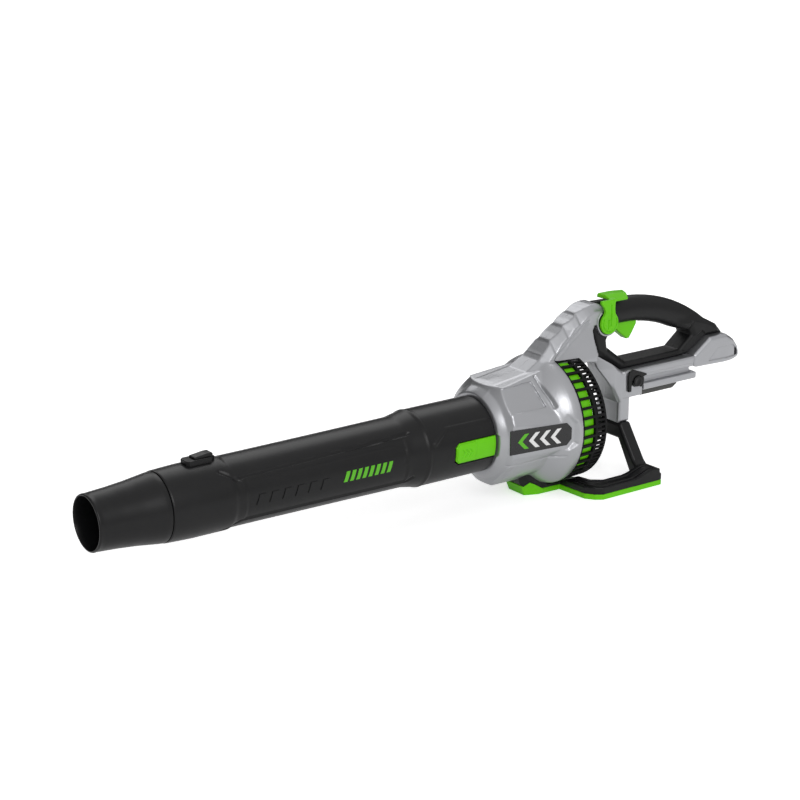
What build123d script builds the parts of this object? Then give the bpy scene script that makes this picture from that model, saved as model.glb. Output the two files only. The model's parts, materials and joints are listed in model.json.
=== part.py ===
"""Hand-held cordless leaf blower that stands on its own foot: +X is the way the air leaves, +Z is up.

Every shape is drawn with two numbers: how far behind the nozzle's mouth it lies, and how far above the
air path's centre line. place() turns them into the model's frame, whose origin is on the ground, in the
middle of the length.
"""
from build123d import *
import os
from math import cos, radians, sin

# ---- driving dimensions, millimetres ----
LENGTH = 965.0          # mouth of the nozzle to the back of the battery bay
AXIS_Z = 91.5           # air path's centre line above the ground
FLOOR = -AXIS_Z         # the ground, measured from the centre line
WALL = 2.6              # moulded casing wall
GAP = 0.3               # clearance between pieces that move, or that only touch

MOUTH_R = 32.3
SEAM = 85.0             # nozzle meets the tube's collar
COLLAR_END = 160.0
SLEEVE = 430.0          # front of the fat rear end of the tube
TUBE_END = 523.5
SLEEVE_R = 47.2
SPIGOT_R = 43.8         # the housing's pipe that the tube slides over
BELLY_R = 65.5
INTAKE_R = 82.3
INTAKE = 631.0          # back edge of the silver housing
CAGE_END = 671.0
CAGE_BARS = 42

FAN_FRONT, FAN_BACK = 594.0, 616.0
HUB_R, BLADE_TIP_R, BLADES = 24.0, 57.6, 11
SHAFT_R = 3.0

GRIP_R = 17.0
CHEEK = 21.0            # half thickness of the fin that carries the handle
BAY_HALF = 25.0
COLUMN_FRONT, COLUMN_BACK = 741.0, 760.0
COLUMN_FOOT = -23.0

WING_Y = 85.0           # half width of the foot
WING_INNER_Y = 59.5
WING_FRONT = 646.0
PAD_TOP = FLOOR + 7.0
FRAME_TOP = -76.0
CRADLE = 9.0              # height of the black frame round the housing, over the pad

LEVER_AT = (718.5, 113.0)
TRIGGER_PIVOT = (741.0, 108.0)
BUTTON_AT = (766.0, 30.0)       # battery release button
LATCH_Z = -3.0                  # height of the tube release button, from the centre line

BIG = 400.0


def place(behind, above, y=0.0):
    """A point of the model, from its distance behind the mouth and its height above the centre line."""
    return Vector(LENGTH / 2 - behind, y, AXIS_Z + above)


AIR_AXIS = Axis(tuple(place(0, 0)), (1, 0, 0))


def outline(points, y=0.0):
    """A flat face in the side view."""
    return make_face(Polyline(*[place(s, z, y) for s, z in points], close=True))


def slab(points, y_low, y_high):
    """The side-view outline, as thick as from y_low to y_high."""
    return extrude(outline(points, y_low), y_high - y_low, dir=(0, 1, 0))


def turned(points, arc=360.0):
    """The outline, turned about the air path's centre line."""
    return revolve(outline(points), axis=AIR_AXIS, revolution_arc=arc)


def block(s0, s1, y0, y1, z0, z1):
    """A box from one station, side and height to another."""
    low, high = place(s1, z0, y0), place(s0, z1, y1)
    return Box(*tuple(high - low), align=(Align.MIN,) * 3).moved(Location(low))


def cross_pin(at, radius, y_low, y_high):
    """A round bar across the machine."""
    start = place(*at, y_low)
    return extrude(Plane(start, x_dir=(1, 0, 0), z_dir=(0, 1, 0)) * Circle(radius), y_high - y_low)


def plan(points, z_low, z_high):
    """A face drawn from above, as (behind, y), made as thick as from z_low to z_high."""
    face = make_face(Polyline(*[place(s, z_low, y) for s, y in points], close=True))
    return extrude(face, z_high - z_low, dir=(0, 0, 1))


def both_sides(points):
    """A plan outline that is the same on both sides: the left half, then its mirror image."""
    return points + [(s, -y) for s, y in reversed(points)]


def left(shape):
    return shape & block(-50, LENGTH + 50, 0, BIG, -BIG, BIG)


def right(shape):
    return shape & block(-50, LENGTH + 50, -BIG, 0, -BIG, BIG)


# ---- outer skin of the housing ----
BELLY = [(524.2, 50.5), (529, 53.5), (545, 63.0), (598, BELLY_R), (627, INTAKE_R), (INTAKE, INTAKE_R)]


def belly(extra=0.0, front=524.2, back=INTAKE):
    """The round part of the housing, solid, grown outwards by extra."""
    skin = [(front, BELLY[0][1] + extra)] + [(s, r + extra) for s, r in BELLY[1:-1]]
    return turned([(front, 0)] + skin + [(back, INTAKE_R + extra), (back, 0)])


FIN = [(525, 49), (541, 62.5), (592, 69.5), (612, 80.5), (634, 100.5), (658, 117.5), (686, 130.5),
       (700, 136.0), (708, 136.0), (702.5, 126), (697.0, 108), (696, 100), (703.5, 74), (700, 64), (640, 74),
       (INTAKE, 74), (600, 30), (540, 30)]


def fin():
    """The blade that rises from the housing to the handle, with its long edges bevelled."""
    body = slab(FIN, -CHEEK, CHEEK)
    ridge = [e for e in body.edges() if e.center().Z > AXIS_Z + 48 and abs(e.center().Y) > CHEEK - 1
             and e.center().X > place(709, 0).X and e.center().X < place(522, 0).X
             and abs(e.tangent_at(0.5).Y) < 0.1 and e.center().Z > AXIS_Z + skyline(LENGTH / 2 - e.center().X) - 4]
    return chamfer(ridge, 8.5)


def skyline(behind):
    """Height of the fin's top edge above the centre line."""
    for (s0, z0), (s1, z1) in zip(FIN, FIN[1:]):
        if s0 <= behind <= s1:
            return z0 + (z1 - z0) * (behind - s0) / (s1 - s0)
    return 0.0


def badge_block(side):
    """The raised pad on the flank that carries the badge. side is 1 for left."""
    top = [(526, 56.0), (534, 61.0), (612, 76.5), (626, 79.5), (626, 40), (526, 40)]
    face = make_face(Polyline(*[place(s, -24, side * y) for s, y in top], close=True))
    return extrude(face, 58, dir=(0, 0, 1))


def flank_panel(side):
    """A flat recess on the housing's upper shoulder."""
    middle = place(566, 0)
    plane = Plane(middle, x_dir=(1, 0, 0), z_dir=(0, side * sin(radians(37.5)), cos(radians(37.5))))
    outline_2d = make_face(Polyline((-34, -18), (34, -18), (28, 22), (-22, 22), close=True)) if side > 0 else \
        make_face(Polyline((-34, 18), (34, 18), (28, -22), (-22, -22), close=True))
    return extrude(plane.offset(60.0) * outline_2d, 30)


def housing_body():
    """Both halves of the housing in one, hollow."""
    body = belly() + fin() + badge_block(1) + badge_block(-1)
    spigot = turned([(472, 0), (472, SPIGOT_R), (526, SPIGOT_R), (526, 0)])
    body = body - flank_panel(1) - flank_panel(-1) + spigot
    inside = turned([(470, 0), (470, 40.8), (532.5, 40.8), (548, 63.0 - WALL), (598, BELLY_R - WALL),
                     (626, INTAKE_R - WALL), (INTAKE + 1, INTAKE_R - WALL), (INTAKE + 1, 0)])
    fin_inside = [(560, 55), (594, 66), (614, 77), (637, 97.5), (660, 114), (688, 127), (697, 131),
                  (693.5, 108), (692.5, 99), (699.5, 75), (697, 67), (640, 77), (600, 40)]
    body -= inside + slab(fin_inside, -CHEEK + WALL, CHEEK - WALL) & block(0, LENGTH, -BIG, BIG, -BIG, 126)
    window = block(460.0, 525.5, 30, 60, LATCH_Z - 13.4, LATCH_Z + 13.4)
    return body - window & housing_limits()


def housing_limits():
    """Keeps the housing ahead of the intake, apart from the fin."""
    return block(471, INTAKE, -BIG, BIG, FLOOR, BIG) + block(INTAKE - 1, 710, -BIG, BIG, 40, BIG)


# ---- tube and nozzle ----
def nozzle_tip():
    return turned([(0, 30.4), (0, MOUTH_R - 0.6), (0.6, MOUTH_R), (SEAM - GAP, 40.4), (SEAM - GAP, 38.2), (126, 38.2), (126, 36.2),
                   (SEAM - 2, 36.2), (8, 30.4)])


def tube_skin():
    return [(SEAM, 40.6), (100, 41.7), (118, 42.4), (COLLAR_END, 42.4), (168, 41.0), (405, 43.0), (SLEEVE, SLEEVE_R - 0.4),
            (TUBE_END, SLEEVE_R)]


def blower_tube():
    bore = [(TUBE_END, SPIGOT_R + 0.35), (468, SPIGOT_R + 0.35), (464, 41.2), (405, 40.4), (130, 38.5), (SEAM, 38.5)]
    body = turned(tube_skin() + bore)
    boss = block(120, 158, -9.5, 9.5, 39.5, 47.2)
    boss = chamfer(boss.edges().filter_by(Axis.Z), 3.0)
    body += boss - turned([(80, 0), (80, 39.4), (200, 39.4), (200, 0)])
    body -= block(131.4, 155.6, -7.0, 7.0, 41.4, 60)
    notch = slab([(467.5, LATCH_Z - 14.4), (461.5, LATCH_Z - 9), (461.5, LATCH_Z + 9), (467.5, LATCH_Z + 14.4), (540, LATCH_Z + 14.4),
                  (540, LATCH_Z - 14.4)], 30, 60)
    return body - notch


def nozzle_lock_button():
    """The push button on the tube's collar that frees the nozzle."""
    body = block(132.0, 155.0, -6.5, 6.5, 44.4, 51.4)
    body = chamfer(body.edges().group_by(Axis.Z)[-1], 1.6)
    for i in range(4):
        body -= block(136 + 4.5 * i, 137.6 + 4.5 * i, -4.5, 4.5, 50.6, 60)
    return body


def tube_release_button():
    """The green latch on the side of the tube: its thumb end stands proud."""
    shell = turned([(462, 44.1), (462, 48.6), (524, 48.6), (524, 44.1)])
    profile = [(468.6, -12.8), (463.6, -8), (463.6, 8), (468.6, 12.8), (523.0, 12.8), (523.0, -12.8)]
    body = shell & slab([(s, LATCH_Z + z) for s, z in profile], 30, 60)
    low_step = turned([(491, 47.3), (491, 50), (530, 50), (530, 47.3)])
    return body - low_step


# ---- air path: shroud, guide vanes, motor, fan ----
SHROUD = [(534.5, 41.0), (575, 57.0), (588, 58.6), (620, 59.0), (630.5, 74.0)]


def shroud_radius(behind):
    for (s0, r0), (s1, r1) in zip(SHROUD, SHROUD[1:]):
        if s0 <= behind <= s1:
            return r0 + (r1 - r0) * (behind - s0) / (s1 - s0)
    return SHROUD[-1][1]


def fan_shroud():
    return turned(SHROUD + [(s, r + 1.8) for s, r in reversed(SHROUD)])


def guide_vanes():
    """Cup that holds the motor, on nine vanes, with a long nose that points down the tube."""
    cup = turned([(508, 0), (512, 5), (528, 15), (548, 23.5), (592, HUB_R), (592, 22.2), (551, 22.2), (551, 0)])
    cup -= turned([(540, 0), (540, 8.1), (552, 8.1), (552, 0)])
    span = turned([(556, 20), (556, shroud_radius(556) - 0.1), (575, 56.9), (584, shroud_radius(584) - 0.1), (584, 20)])
    span -= turned([(540, 0), (540, 23.3), (600, 23.3), (600, 0)])
    blade = block(550, 590, -1.0, 1.0, 20, 62)
    vanes = [blade.rotate(AIR_AXIS, 360 / 9 * i) & span for i in range(9)]
    body = cup
    for vane in vanes:
        body += vane
    return body


def motor_stator():
    ring = turned([(554, 9.6), (554, 21.9), (586, 21.9), (586, 9.6)])
    for i in range(6):
        slot = block(550, 590, -2.2, 2.2, 12, 19).rotate(AIR_AXIS, 60 * i)
        ring -= slot
    return ring


def motor_windings():
    coils = [block(552.5, 586.5, -2.0, 2.0, 12.2, 18.8).rotate(AIR_AXIS, 60 * i) for i in range(6)]
    return Compound(children=coils)


def motor_rotor():
    return turned([(541, 0), (541, SHAFT_R), (556, SHAFT_R), (556, 9.0), (584, 9.0), (584, SHAFT_R), (624, SHAFT_R), (624, 0)])


def bearing(start):
    return turned([(start, SHAFT_R + 0.06), (start, 8.0), (start + 5, 8.0), (start + 5, SHAFT_R + 0.06)])


def rear_bearing_plate():
    """Closes the back of the motor cup and holds the rear bearing."""
    return turned([(587, 8.05), (587, 22.0), (591.5, 22.0), (591.5, 8.05)])


def fan_impeller():
    hub = turned([(FAN_FRONT, SHAFT_R), (FAN_FRONT, HUB_R), (FAN_BACK, HUB_R - 2), (FAN_BACK, SHAFT_R)])
    start = place((FAN_FRONT + FAN_BACK) / 2, 0)
    root = Plane(start + Vector(0, 0, HUB_R - 5), x_dir=(cos(radians(38)), sin(radians(38)), 0), z_dir=(0, 0, 1))
    tip = Plane(start + Vector(0, 0, 62), x_dir=(cos(radians(60)), sin(radians(60)), 0), z_dir=(0, 0, 1))
    blade = loft([root * Rectangle(20, 2.4), tip * Rectangle(24, 1.4)])
    reach = turned([(FAN_FRONT + 0.5, 10), (FAN_FRONT + 0.5, BLADE_TIP_R), (FAN_BACK - 0.5, BLADE_TIP_R), (FAN_BACK - 0.5, 10)])
    body = hub
    for i in range(BLADES):
        body += blade.rotate(AIR_AXIS, 360 / BLADES * i) & reach
    return body - turned([(580, 0), (580, SHAFT_R + 0.01), (630, SHAFT_R + 0.01), (630, 0)])


def fan_nut():
    start = place(FAN_BACK + 4.6, 0)
    hexagon = Plane(start, x_dir=(0, 1, 0), z_dir=(1, 0, 0)) * RegularPolygon(6.5, 6)
    return extrude(hexagon, 4.5) - turned([(600, 0), (600, SHAFT_R + 0.01), (640, SHAFT_R + 0.01), (640, 0)])


def inlet_guard_ring():
    """The green drum that shows between the cage's bars."""
    drum = turned([(INTAKE + 0.5, 75.5), (INTAKE + 0.5, 78.0), (651, 77.6), (651, 75.5)])
    return drum - under_fin()


def intake_cage():
    """The black cage over the air intake: bars along it, hoops round it, and a spoked back."""
    hoops = [(INTAKE + GAP, INTAKE + 3, 78.2, 82.0), (651.5, 654.0, 77.0, 81.4), (660.5, 662.5, 77.5, 80.9), (667.5, CAGE_END, 74.5, 80.0)]
    body = turned([(hoops[0][0], hoops[0][2]), (hoops[0][0], hoops[0][3]), (hoops[0][1], hoops[0][3]), (hoops[0][1], hoops[0][2])])
    for s0, s1, r0, r1 in hoops[1:]:
        body += turned([(s0, r0), (s0, r1), (s1, r1), (s1, r0)])
    for i in range(CAGE_BARS):
        bar = slab([(INTAKE + 0.5, 78.4), (INTAKE + 0.5, 82.0), (CAGE_END - 1, 80.0), (CAGE_END - 1, 77.2)], -1.5, 1.5)
        body += bar.rotate(AIR_AXIS, 360 / CAGE_BARS * i)
    for radius in (24.0, 37.0, 50.0, 63.0):
        body += turned([(668, radius - 1.2), (668, radius + 1.2), (CAGE_END, radius + 1.2), (CAGE_END, radius - 1.2)])
    for i in range(CAGE_BARS // 2):
        body += block(668, CAGE_END, -1.1, 1.1, 17, 76).rotate(AIR_AXIS, 720 / CAGE_BARS * i)
    body += turned([(667, 0), (667, 18), (CAGE_END + 0.6, 17), (CAGE_END + 0.6, 0)])
    return body - under_fin()


def under_fin():
    """The room that the fin's root takes over the top of the cage."""
    wedge = [(INTAKE, 73.4), (640, 73.4), (700, 63.4), (700, 100), (INTAKE, 100)]
    return slab(wedge, -CHEEK - GAP, CHEEK + GAP)


# ---- handle ----
def grip_line():
    """Centre line of the round grip: straight, then one arc down to the back."""
    front = Line(place(706, 119.5), place(757, 119.5))
    return front + TangentArc(front @ 1, place(889, 75.0), tangent=front % 1)


def grip_bar(radius):
    line = grip_line()
    section = Plane(line @ 0, x_dir=(0, 1, 0), z_dir=(-1, 0, 0)) * Circle(radius)
    return sweep(section, path=line)


BLACK = [(696.5, 108), (695.5, 101), (703.5, 74.5), (747.8, 44.6), (863, 45.6), (896, 65.4), (926, 65.4), (916, 77.5),
         (897, 86), (872, 92), (846, 92), (852, 78), (869, 71), (847, 54.6), (757, 54.6), (725.5, 78.4), (724, 88), (733, 103),
         (735, 116), (699, 118)]


def handle_body():
    """Both halves of the black handle in one, hollow."""
    frame = slab(BLACK, -18.5, 18.5)
    long_edges = [e for e in frame.edges() if abs(e.tangent_at(0.5).Y) < 0.1 and e.center().X < place(700, 0).X]
    frame = chamfer(long_edges, 3.2)
    grip = grip_bar(GRIP_R)
    body = frame + grip
    body -= slab([(699, 64), (703.5, 74.5), (700.2, 88), (690, 88), (690, 64)], -30, 30)
    cavity = slab([(706, 100), (710, 78), (748, 49.5), (752, 49.5), (716, 80), (716, 100)], -12, 12)
    body -= grip_bar(GRIP_R - 3.0) + cavity
    body -= block(736.0, 784, -8.0, 8.0, 90, 118)
    body += cross_pin(LEVER_AT, 15.5, -CHEEK, CHEEK)
    body -= cross_pin(LEVER_AT, 7.05, CHEEK - 5.6, CHEEK + 1)
    body -= cross_pin(TRIGGER_PIVOT, 2.03, -11.1, 11.1)
    return body - fin_zone()


def fin_zone():
    """The room that the housing's fin takes at the front of the handle."""
    return slab([(s + (0.2 if s > 690 else 0), z) for s, z in FIN], -CHEEK - 1, CHEEK + 1)


def trigger():
    finger = [(743, 104), (743, 99), (751, 92), (760, 85.5), (765, 81.5), (769, 81.8), (773, 87), (780, 99.5), (780, 104)]
    body = slab(finger, -7.0, 7.0)
    body = chamfer([e for e in body.edges() if abs(e.tangent_at(0.5).Y) < 0.1 and e.center().Z < AXIS_Z + 100], 1.5)
    arm = slab([(738.2, 104), (738.2, 111), (750, 111), (780, 104)], -7.0, 7.0)
    return body + arm - cross_pin(TRIGGER_PIVOT, 5.2, -2.7, 2.7) - cross_pin(TRIGGER_PIVOT, 2.05, -20, 20)


def trigger_pin():
    return cross_pin(TRIGGER_PIVOT, 2.0, -11.0, 11.0)


def trigger_spring():
    """Coil of the torsion spring that sits round the pin, in the middle of the trigger's arm."""
    return cross_pin(TRIGGER_PIVOT, 4.6, -2.2, 2.2) - cross_pin(TRIGGER_PIVOT, 2.4, -3, 3)


def switch_module():
    return block(756, 790, -8.0, 8.0, 115.5, 126.0)


def speed_lever():
    """Side disc, arm and thumb paddle of the speed-hold lever."""
    inner = CHEEK + 0.6
    disc = cross_pin(LEVER_AT, 14.2, inner, CHEEK + 4.2) - cross_pin(LEVER_AT, 11.4, CHEEK + 3.0, CHEEK + 6.0)
    arm = slab([(709.5, 120), (710, 131), (716, 139), (715, 141), (727, 141), (725, 138), (727, 131), (728, 120)], inner, CHEEK + 4.2)
    crown = [(712, 142.4), (714, 140.2), (724, 139.2), (757, 138.4), (766, 139.2), (768, 141.4), (762, 145.6), (752, 147.6),
             (738, 145.8), (724, 144.0)]
    paddle = slab(crown, -13.0, CHEEK + 4.2)
    paddle -= plan([(700, 30), (715.5, 21), (731, -13), (731, -20), (700, -20)], 60 - 100, 180)
    rib = slab([(716.5, 106), (716.5, 138), (720.5, 138), (720.5, 106)], CHEEK + 2.9, CHEEK + 5.2)
    hub = cross_pin(LEVER_AT, 4.0, CHEEK - 3, CHEEK + 0.8)
    return disc + arm + paddle + rib + hub


def lever_bush():
    """Blind bush in the left cheek that the lever turns in."""
    return cross_pin(LEVER_AT, 7.0, CHEEK - 5.5, CHEEK + 0.3) - cross_pin(LEVER_AT, 4.05, CHEEK - 3.2, CHEEK + 1)


# ---- silver rear frame with the battery bay ----
def rear_frame_body():
    front = slab([(704.2, 73.9), (747.6, 44.3), (COLUMN_BACK, 44.3), (COLUMN_BACK, COLUMN_FOOT),
                  (COLUMN_FRONT, COLUMN_FOOT), (COLUMN_FRONT, 4), (730, 24), (709, 56), (700.9, 63.6)], -22, 22)
    bay = slab([(750, 44.3), (868, 45.3), (868, 30.5), (782, 31.5), (782, 9.0), (750, 9.0)], -BAY_HALF, BAY_HALF)
    bay = chamfer([e for e in bay.edges() if abs(e.tangent_at(0.5).Y) < 0.1 and e.center().Z > AXIS_Z + 40
                   and abs(e.tangent_at(0.5).Z) < 0.1], 2.0)
    body = front + bay
    body -= slab([(753, 41), (864, 41.5), (864, 33.5), (779, 34.5), (779, 12.0), (753, 12.0)], -BAY_HALF + 3, BAY_HALF - 3)
    body -= block(744, 757, -18, 18, COLUMN_FOOT + 6, 34)
    body -= slab([(707, 68), (747, 40), (735, 26), (713, 57)], -18, 18)
    body -= cross_pin(BUTTON_AT, 7.3, BAY_HALF - 5, BAY_HALF + 5)
    return body


def bay_end_cap():
    """The rounded silver end of the battery bay."""
    side = slab([(868.2, 45.4), (868.2, 47.0), (896.3, 65.0), (928, 65.0), (944, 55), (955, 44), (LENGTH, 31), (LENGTH, 25.5), (868.2, 27.5)],
                -BAY_HALF, BAY_HALF)
    round_end = extrude(Plane(place(LENGTH - 45, -10), z_dir=(0, 0, 1)) * Ellipse(45, BAY_HALF), 100)
    keep = block(860, LENGTH - 45, -BAY_HALF, BAY_HALF, -10, 90) + round_end
    body = side & keep
    return body - slab([(872, 42), (898, 61), (926, 61), (946, 47), (955, 36), (955, 31), (872, 31)], -BAY_HALF + 5, BAY_HALF - 5)


def battery_rails():
    """The two-step rail that the battery pack slides along."""
    neck = block(782.3, 867.5, -16.0, 16.0, 22, 30.2)
    flange = block(782.3, 874, -22.5, 22.5, 13.5, 22.5)
    body = neck + flange
    for side in (1, -1):
        groove = block(790, 900, 18 if side > 0 else -19.5, 19.5 if side > 0 else -18, 10, 16)
        body -= groove
    return body - block(786, 850, -12.2, 12.2, 8, 17.5)


def terminal_block():
    body = slab([(786.3, 17.2), (849.7, 17.2), (849.7, 9), (842, 4), (786.3, 4)], -12.0, 12.0)
    for y in (-8.5, -3.5, 1.5, 6.5):
        body -= block(800, 846, y, y + 2.0, 0, 12.0)
    return body


def contact_blades():
    blades = [block(803, 838, y + 0.5, y + 1.5, 5.5, 12.0) for y in (-8.5, -3.5, 1.5, 6.5)]
    return Compound(children=blades)


def latch_bezel():
    """Dark hook-shaped surround beside the battery release button."""
    hook = [(752.0, 18.5), (750.5, 38), (753.5, 44.6), (758.5, 46.6), (781.5, 38.2), (782.5, 35.6), (775.5, 34.4), (772.5, 38),
            (761, 41), (757.0, 38), (756.5, 18.5)]
    return slab(hook, BAY_HALF + 0.1, BAY_HALF + 3.2)


def battery_release_button():
    body = cross_pin(BUTTON_AT, 6.9, BAY_HALF - 4.5, BAY_HALF + 5.0)
    top = body.edges().filter_by(GeomType.CIRCLE).sort_by(Axis.Y)[-1]
    return chamfer(top, 1.2)


def controller_board():
    board = block(790, 858, -18, 18, 35.6, 37.2)
    for s in (797, 811, 825):
        board += block(s, s + 9, -12, -3, 37.2, 40.4)
    board += block(840, 852, -8, 12, 37.2, 40.6)
    return board


def heat_sink():
    body = block(797, 833, 0, 14, 37.4, 38.8)
    for i in range(5):
        body += block(797 + 8.4 * i, 798.6 + 8.4 * i, 0, 14, 38.8, 41.0)
    return body


# ---- foot ----
def foot_plan():
    """Left half of the foot's outline from above: narrow nose, then a wide wing."""
    return [(594, 15), (611, 22), (WING_FRONT - 2, 23.5), (WING_FRONT + 1, 68), (655, 79), (664, WING_Y), (760, WING_Y)]


def keel():
    """The nose under the housing, which flares up to cradle it."""
    low = [(594, 15), (611, 22), (645, 23.5)]
    high = [(577, 17), (600, 25), (645, 27)]
    faces = [make_face(Polyline(*[place(s, z, y) for s, y in both_sides(half)], close=True))
             for half, z in ((low, FLOOR), (high, -54.0))]
    return loft(faces, ruled=True)


def wing_ring(z_low, z_high):
    """The foot's flat loop, open between the wings at the back."""
    outer = plan(both_sides(foot_plan()), z_low, z_high)
    gap_half = [(668, 20), (672, 50), (684, WING_INNER_Y), (790, WING_INNER_Y)]
    return outer - plan(both_sides(gap_half), z_low - 1, z_high + 1)


def round_room(extra):
    """Room for the housing and the cage, grown by extra."""
    return belly(extra) + turned([(INTAKE - 1, 0), (INTAKE - 1, INTAKE_R + extra), (CAGE_END + 1.5, 80.5 + extra), (CAGE_END + 1.5, 0)])


def pad_blank():
    """The green pad before its screw holes."""
    return wing_ring(FLOOR, PAD_TOP) + (keel() - round_room(CRADLE)) - round_room(1.2)


def base_pad():
    body = pad_blank()
    for s, y in FOOT_SCREWS:
        body -= screw_hole(s, y)
    return body


FOOT_SCREWS = [(676, 73), (748, 73), (676, -73), (748, -73)]


def screw_hole(s, y):
    start = place(s, FLOOR - 1, y)
    return extrude(Plane(start, z_dir=(0, 0, 1)) * Circle(4.4), 5.0) + extrude(Plane(start, z_dir=(0, 0, 1)) * Circle(2.1), 20.0)


def base_frame():
    arch = [(24.6, COLUMN_FOOT), (59, -76), (WING_Y, -69), (WING_Y, PAD_TOP), (50, PAD_TOP), (21, -43.5)]
    arch = arch + [(-y, z) for y, z in reversed(arch)]
    start = LENGTH / 2 - COLUMN_BACK
    face = make_face(Polyline(*[Vector(start, y, AXIS_Z + z) for y, z in arch], close=True))
    legs = extrude(face, COLUMN_BACK - COLUMN_FRONT, dir=(1, 0, 0))
    ramp = [slab([(722, FRAME_TOP), (742, -68.6), (742, PAD_TOP), (722, PAD_TOP)], *sorted((side * 60, side * WING_Y))) for side in (1, -1)]
    cradle = keel() & round_room(CRADLE)
    body = legs + ramp[0] + ramp[1] + wing_ring(PAD_TOP, FRAME_TOP) + cradle
    body -= round_room(1.2)
    for s, y in FOOT_SCREWS:
        body -= extrude(Plane(place(s, PAD_TOP - 1, y), z_dir=(0, 0, 1)) * Circle(2.1), 7.0)
    return body - pad_blank()


def foot_screws():
    heads = []
    for s, y in FOOT_SCREWS:
        start = place(s, FLOOR + 1.0, y)
        head = extrude(Plane(start, z_dir=(0, 0, 1)) * Circle(4.0), 2.8) + extrude(Plane(start, z_dir=(0, 0, 1)) * Circle(1.9), 11.0)
        heads.append(head - extrude(Plane(start, z_dir=(0, 0, 1)) * RegularPolygon(1.8, 6), 1.6))
    return Compound(children=heads)


# ---- badges and side screws ----
def side_badge(side):
    """Black plate on the flank, lying on the badge block's slope."""
    face_points = [(535.5, 61.35), (611, 76.35), (611, 77.85), (535.5, 62.85)]
    face = make_face(Polyline(*[place(s, -13, side * y) for s, y in face_points], close=True))
    body = extrude(face, 31, dir=(0, 0, 1))
    cut = slab([(600, -14), (612, -14), (612, -5)], *sorted((side * 50, side * 90)))
    cut_top = slab([(604, 19), (612, 19), (612, 12)], *sorted((side * 50, side * 90)))
    return body - cut - cut_top


SIDE_SCREWS = [(650, 90, CHEEK), (688, 112, CHEEK), (736, 50, 22.0), (COLUMN_FRONT + 9.5, -10, 22.0)]


def side_screws():
    """Casing screws, driven from the right-hand side."""
    heads = []
    for s, z, y in SIDE_SCREWS:
        head = cross_pin((s, z), 3.6, -y - 1.6, -y - 0.05)
        heads.append(head - cross_pin((s, z), 1.5, -y - 2.5, -y - 0.8))
    return Compound(children=heads)


def rear_web_screws():
    heads = []
    for s in (800, 856):
        head = cross_pin((s, 39), 3.2, -BAY_HALF - 1.4, -BAY_HALF - 0.05)
        heads.append(head - cross_pin((s, 39), 1.3, -BAY_HALF - 2.5, -BAY_HALF - 0.7))
    return Compound(children=heads)


def motor_leads():
    """Three-core lead from the motor, up inside the fin, towards the handle."""
    route = [place(600, 64.0), place(618, 73.5), place(640, 90), place(662, 104)]
    line = FilletPolyline(*route, radius=8.0)
    section = Plane(line @ 0, z_dir=line % 0) * Circle(2.4)
    return sweep(section, path=line)


def make_all():
    housing = housing_body()
    handle = handle_body()
    frame = rear_frame_body()
    return {
        "nozzle_tip": nozzle_tip(),
        "blower_tube": blower_tube(),
        "nozzle_lock_button": nozzle_lock_button(),
        "tube_release_button": tube_release_button(),
        "housing_left": left(housing),
        "housing_right": right(housing),
        "fan_shroud": fan_shroud(),
        "guide_vanes": guide_vanes(),
        "motor_stator": motor_stator(),
        "motor_windings": motor_windings(),
        "motor_rotor": motor_rotor(),
        "front_bearing": bearing(545.5),
        "rear_bearing": bearing(586.5),
        "rear_bearing_plate": rear_bearing_plate(),
        "fan_impeller": fan_impeller(),
        "fan_nut": fan_nut(),
        "inlet_guard_ring": inlet_guard_ring(),
        "intake_cage": intake_cage(),
        "handle_left": left(handle),
        "handle_right": right(handle),
        "trigger": trigger(),
        "trigger_pin": trigger_pin(),
        "trigger_spring": trigger_spring(),
        "switch_module": switch_module(),
        "speed_lever": speed_lever(),
        "lever_bush": lever_bush(),
        "rear_frame_left": left(frame),
        "rear_frame_right": right(frame),
        "bay_end_cap": bay_end_cap(),
        "battery_rails": battery_rails(),
        "terminal_block": terminal_block(),
        "contact_blades": contact_blades(),
        "latch_bezel": latch_bezel(),
        "battery_release_button": battery_release_button(),
        "controller_board": controller_board(),
        "heat_sink": heat_sink(),
        "base_pad": base_pad(),
        "base_frame": base_frame(),
        "foot_screws": foot_screws(),
        "side_badge_left": side_badge(1),
        "side_badge_right": side_badge(-1),
        "side_screws": side_screws(),
        "bay_screws": rear_web_screws(),
        "motor_leads": motor_leads(),
    }


def main():
    os.makedirs("parts", exist_ok=True)
    for name, shape in make_all().items():
        solids = shape.solids()
        print(f"{name}: {len(solids)} solid(s), {sum(s.volume for s in solids) / 1000:.1f} cm3")
        export_step(shape, f"parts/{name}.step")


main()
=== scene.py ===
"""The visual model of a hand-held cordless leaf blower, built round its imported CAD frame.

Moulded casings are carved: each is a signed distance in a block of space, from which a skin is drawn.
Sizes are millimetres: "behind" is the distance behind the nozzle's mouth, "side" is towards the machine's
left, and "above" is the height over the air path's centre line.
"""
import json
from math import atan2, cos, degrees, hypot, pi, radians, sin

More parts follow.
